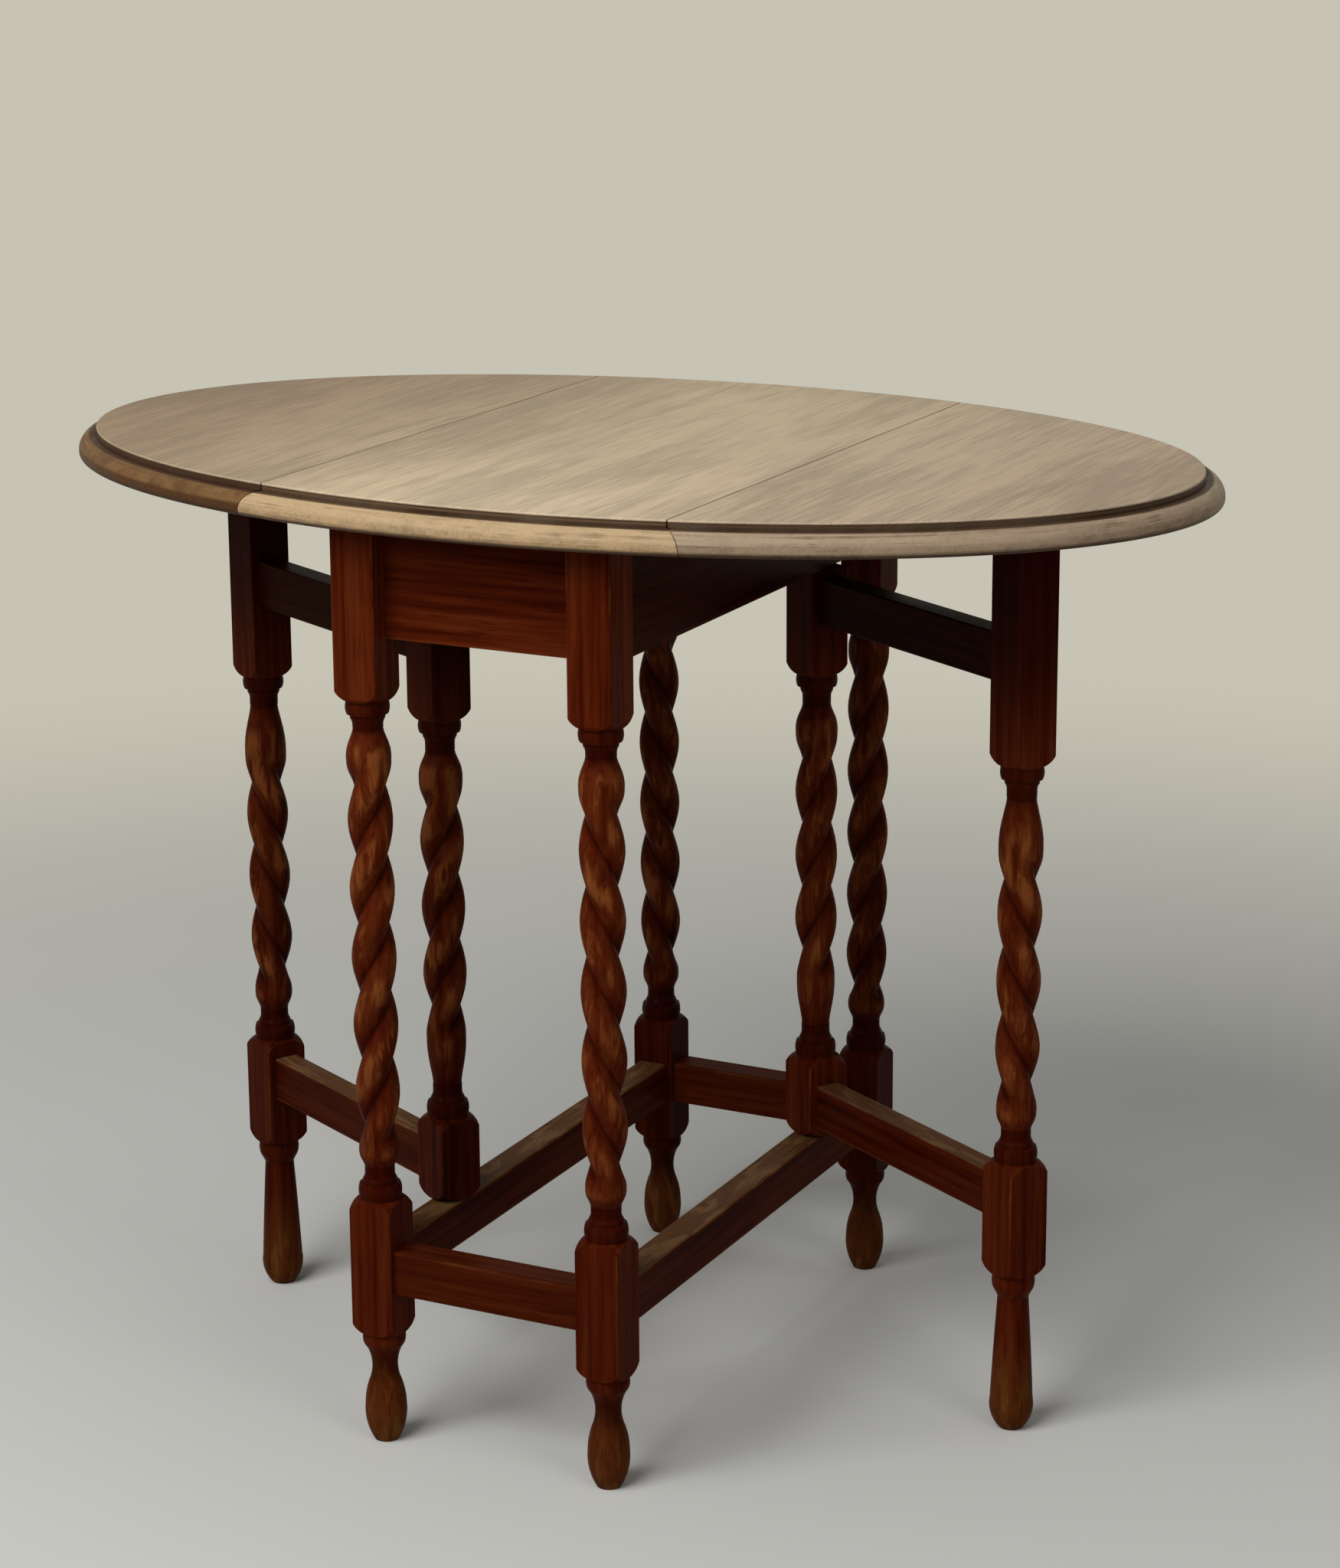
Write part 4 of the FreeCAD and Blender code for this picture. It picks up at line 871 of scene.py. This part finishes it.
@dataclass
class Gate:
    """One swinging gate: its post, leg, rails and pivot pins."""

    side: Side
    # How much darker the gate's finish is made: painted shade.
    tone: float
    rail_thickness: float = 0.020
    post_twist: tuple[float, float] = (0.244, 0.503)
    leg_twist: tuple[float, float] = (0.235, 0.487)
    # Painted shade: darker high up under the leaf, and a little darker low down.
    stain: StainedOak = field(default_factory=lambda: StainedOak(low_shade=0.15, high_shade=0.75))
    upper_rail_shade: float = 0.3
    lower_rail_shade: float = 0.75
    first_seed: int = 5

    def dress(self) -> None:
        """Finishes the upright pieces with upright grain and the rails with grain along them."""
        name = self.side.value
        post = middle_of(f"gate_post_{name}")
        leg = middle_of(f"gate_leg_{name}")
        turn = math.atan2(leg.y - post.y, leg.x - post.x)
        # Painted shade: a darker copy of the finish.
        finish = self.stain.darker(self.tone)
        uprights = {"gate_post": self.post_twist, "gate_leg": self.leg_twist,
                    "pivot_pin_upper": self.post_twist, "pivot_pin_lower": self.post_twist}
        for seed, (kind, twist) in enumerate(uprights.items(), start=self.first_seed):
            node = f"{kind}_{name}"
            member = Member(axis_of(node), Grain.ALONG_Z, turn, seed=seed + turn, twist=twist)
            dress(node, finish.material(f"stained_oak_{node}", member, Wear.TURNED))
        # The rails get still darker copies: painted shade, most on the upper rail under the leaf.
        rails = (("gate_upper_rail", self.upper_rail_shade, Wear.SHELTERED),
                 ("gate_lower_rail", self.lower_rail_shade, Wear.TRODDEN))
        for kind, tone, wear in rails:
            node = f"{kind}_{name}"
            low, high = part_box(node)
            member = Member(middle_of(node), Grain.ALONG_X, turn, self.rail_thickness / 2,
                            (high.z - low.z) / 2, high.z * SEEDS_PER_METRE + turn)
            dress(node, finish.darker(tone).material(f"stained_oak_{node}", member, wear))


@dataclass
class Fittings:
    """Hinges, screws, fixing blocks and leaf stops under the top."""

    iron: AgedMetal = AgedMetal(clean=(0.110, 0.095, 0.080), browned=(0.060, 0.034, 0.020), roughness=0.45)
    steel: AgedMetal = AgedMetal(clean=(0.300, 0.285, 0.260), browned=(0.110, 0.080, 0.055), roughness=0.35)
    sawn: SawnOak = field(default_factory=SawnOak)

    def dress(self) -> None:
        """Finishes what is left of the table's nodes by their kind."""
        for seed, node in enumerate(sorted(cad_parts)):
            member = Member(middle_of(node), Grain.ALONG_Y, seed=seed)
            if "screws" in node:
                dress(node, self.steel.material(f"aged_steel_{node}", member))
            elif node.startswith("hinge_"):
                dress(node, self.iron.material(f"browned_iron_{node}", member))
            elif node.startswith(("fixing_block", "leaf_stop")):
                dress(node, self.sawn.material(f"sawn_oak_{node}", member))


@dataclass
class Softbox:
    """A large square lamp.

    Its level is the brightness that it alone gives to a white face at its aim that looks towards it.
    """

    name: str
    position: Vector
    size: float
    level: float
    aim: Vector = field(default_factory=lambda: Vector((0.0, 0.0, 0.40)))

    def build(self) -> None:
        """Makes the lamp, with the power that its level needs at its distance."""
        data = bpy.data.lights.new(self.name, "AREA")
        data.shape = "SQUARE"
        data.size = self.size
        reach = self.aim - self.position
        data.energy = self.level * math.pi ** 2 * reach.length_squared
        lamp = bpy.data.objects.new(self.name, data)
        lamp.location = self.position
        lamp.rotation_mode = "QUATERNION"
        lamp.rotation_quaternion = reach.to_track_quat("-Z", "Y")
        bpy.context.scene.collection.objects.link(lamp)
        LOG.info("%s: %.1f W", self.name, data.energy)


@dataclass
class PhotoCamera:
    """The camera of the photograph, fitted to the table's feet, rim and joint lines.

    Its place is in metres, its turns are in degrees, its focal length and axis are in pixels of the
    photograph, and its film width is in millimetres.
    """

    position: Vector = field(default_factory=lambda: Vector((1.2752, -2.4855, 1.2173)))
    yaw: float = 26.944
    pitch: float = 14.875
    roll: float = -0.461
    width_px: int = 1750
    height_px: int = 2048
    focal_px: float = 5012.9
    axis_px: tuple[float, float] = (844.8, 994.4)
    film_width: float = 36.0

    def build(self) -> None:
        """Makes the camera and gives it to the scene."""
        yaw, pitch, roll = (math.radians(angle) for angle in (self.yaw, self.pitch, self.roll))
        level_right = Vector((math.cos(yaw), math.sin(yaw), 0.0))
        level_ahead = Vector((-math.sin(yaw), math.cos(yaw), 0.0))
        ahead = level_ahead * math.cos(pitch) - Vector((0.0, 0.0, math.sin(pitch)))
        level_up = level_ahead * math.sin(pitch) + Vector((0.0, 0.0, math.cos(pitch)))
        right = level_right * math.cos(roll) + level_up * math.sin(roll)
        upward = level_up * math.cos(roll) - level_right * math.sin(roll)
        data = bpy.data.cameras.new("photo_camera")
        data.sensor_width = self.film_width
        data.lens = self.film_width * self.focal_px / self.height_px
        data.shift_x = (self.width_px / 2 - self.axis_px[0]) / self.height_px
        data.shift_y = (self.axis_px[1] - self.height_px / 2) / self.height_px
        camera = bpy.data.objects.new("photo_camera", data)
        turn = Matrix((right, upward, -ahead)).transposed()
        camera.matrix_world = Matrix.Translation(self.position) @ turn.to_4x4()
        bpy.context.scene.collection.objects.link(camera)
        bpy.context.scene.camera = camera
        LOG.info("photo_camera: %.1f mm lens", data.lens)


@dataclass
class Studio:
    """A pale floor that fades into a pale surround, with soft light from the front and above."""

    floor_radius: float = 2.5
    floor_corners: int = 96
    floor_tone: Colour = (0.640, 0.640, 0.610)
    floor_roughness: float = 0.9
    floor_sheen: float = 0.1
    floor_fade: Fade = Fade(0.7, 2.4)
    surround: Colour = (0.575, 0.550, 0.460)
    fill: Colour = (1.0, 0.985, 0.95)
    fill_level: float = 0.14
    lamps: tuple[Softbox, ...] = (
        Softbox("front_softbox", Vector((-0.7, -2.4, 2.6)), size=2.2, level=0.86),
        Softbox("overhead_softbox", Vector((0.0, -0.1, 3.2)), size=2.6, level=0.20),
        Softbox("right_softbox", Vector((3.0, -1.6, 1.7)), size=1.6, level=0.14),
    )

    def build(self) -> None:
        """Makes the floor, the surround and the lamps."""
        self.build_floor()
        self.build_surround()
        for lamp in self.lamps:
            lamp.build()
        bpy.context.scene.view_settings.view_transform = "Standard"

    def build_floor(self) -> None:
        """Makes a round floor whose edge fades out."""
        bpy.ops.mesh.primitive_circle_add(vertices=self.floor_corners, radius=self.floor_radius,
                                          fill_type="NGON")
        floor = bpy.context.active_object
        floor.name = "studio_floor"
        pad = NodePad("studio_floor", Member(Vector((0.0, 0.0, 0.0)), Grain.ALONG_X))
        pad.surface("Base Color", (*self.floor_tone, 1.0))
        pad.surface("Roughness", self.floor_roughness)
        pad.surface("Specular IOR Level", self.floor_sheen)
        length = pad.tree.nodes.new("ShaderNodeVectorMath")
        length.operation = "LENGTH"
        pad.link(pad.local, length.inputs[0])
        share = pad.fade(length.outputs["Value"], self.floor_fade)
        clear = pad.tree.nodes.new("ShaderNodeBsdfTransparent")
        fade = pad.tree.nodes.new("ShaderNodeMixShader")
        pad.link(share, fade.inputs["Fac"])
        pad.link(pad.shader.outputs["BSDF"], fade.inputs[1])
        pad.link(clear.outputs["BSDF"], fade.inputs[2])
        pad.link(fade.outputs["Shader"], pad.output.inputs["Surface"])
        floor.data.materials.append(pad.material)
        LOG.info("studio_floor: %.1f m radius", self.floor_radius)

    def build_surround(self) -> None:
        """Makes the world: a pale tone to look at and an even light."""
        world = bpy.data.worlds.new("studio_surround")
        world.use_nodes = True
        bpy.context.scene.world = world
        tree = world.node_tree
        tree.nodes.clear()
        seen = tree.nodes.new("ShaderNodeBackground")
        seen.inputs["Color"].default_value = (*self.surround, 1.0)
        light = tree.nodes.new("ShaderNodeBackground")
        light.inputs["Color"].default_value = (*self.fill, 1.0)
        light.inputs["Strength"].default_value = self.fill_level
        path = tree.nodes.new("ShaderNodeLightPath")
        either = path.outputs["Is Camera Ray"]
        for ray in ("Is Glossy Ray", "Is Transmission Ray"):
            larger = tree.nodes.new("ShaderNodeMath")
            larger.operation = "MAXIMUM"
            tree.links.new(either, larger.inputs[0])
            tree.links.new(path.outputs[ray], larger.inputs[1])
            either = larger.outputs["Value"]
        blend = tree.nodes.new("ShaderNodeMixShader")
        output = tree.nodes.new("ShaderNodeOutputWorld")
        tree.links.new(either, blend.inputs["Fac"])
        tree.links.new(light.outputs["Background"], blend.inputs[1])
        tree.links.new(seen.outputs["Background"], blend.inputs[2])
        tree.links.new(blend.outputs["Shader"], output.inputs["Surface"])
        LOG.info("studio_surround: fill level %.2f", self.fill_level)


def main() -> None:
    """Dresses the table, then makes the studio and the camera."""
    logging.basicConfig(level=logging.INFO, format="%(message)s")
    TopBoards().dress()
    CornerFrame().dress()
    for side, tone in GATE_SHADES.items():
        Gate(side, tone).dress()
    Fittings().dress()
    Studio().build()
    PhotoCamera().build()


if __name__ == "__main__":
    main()
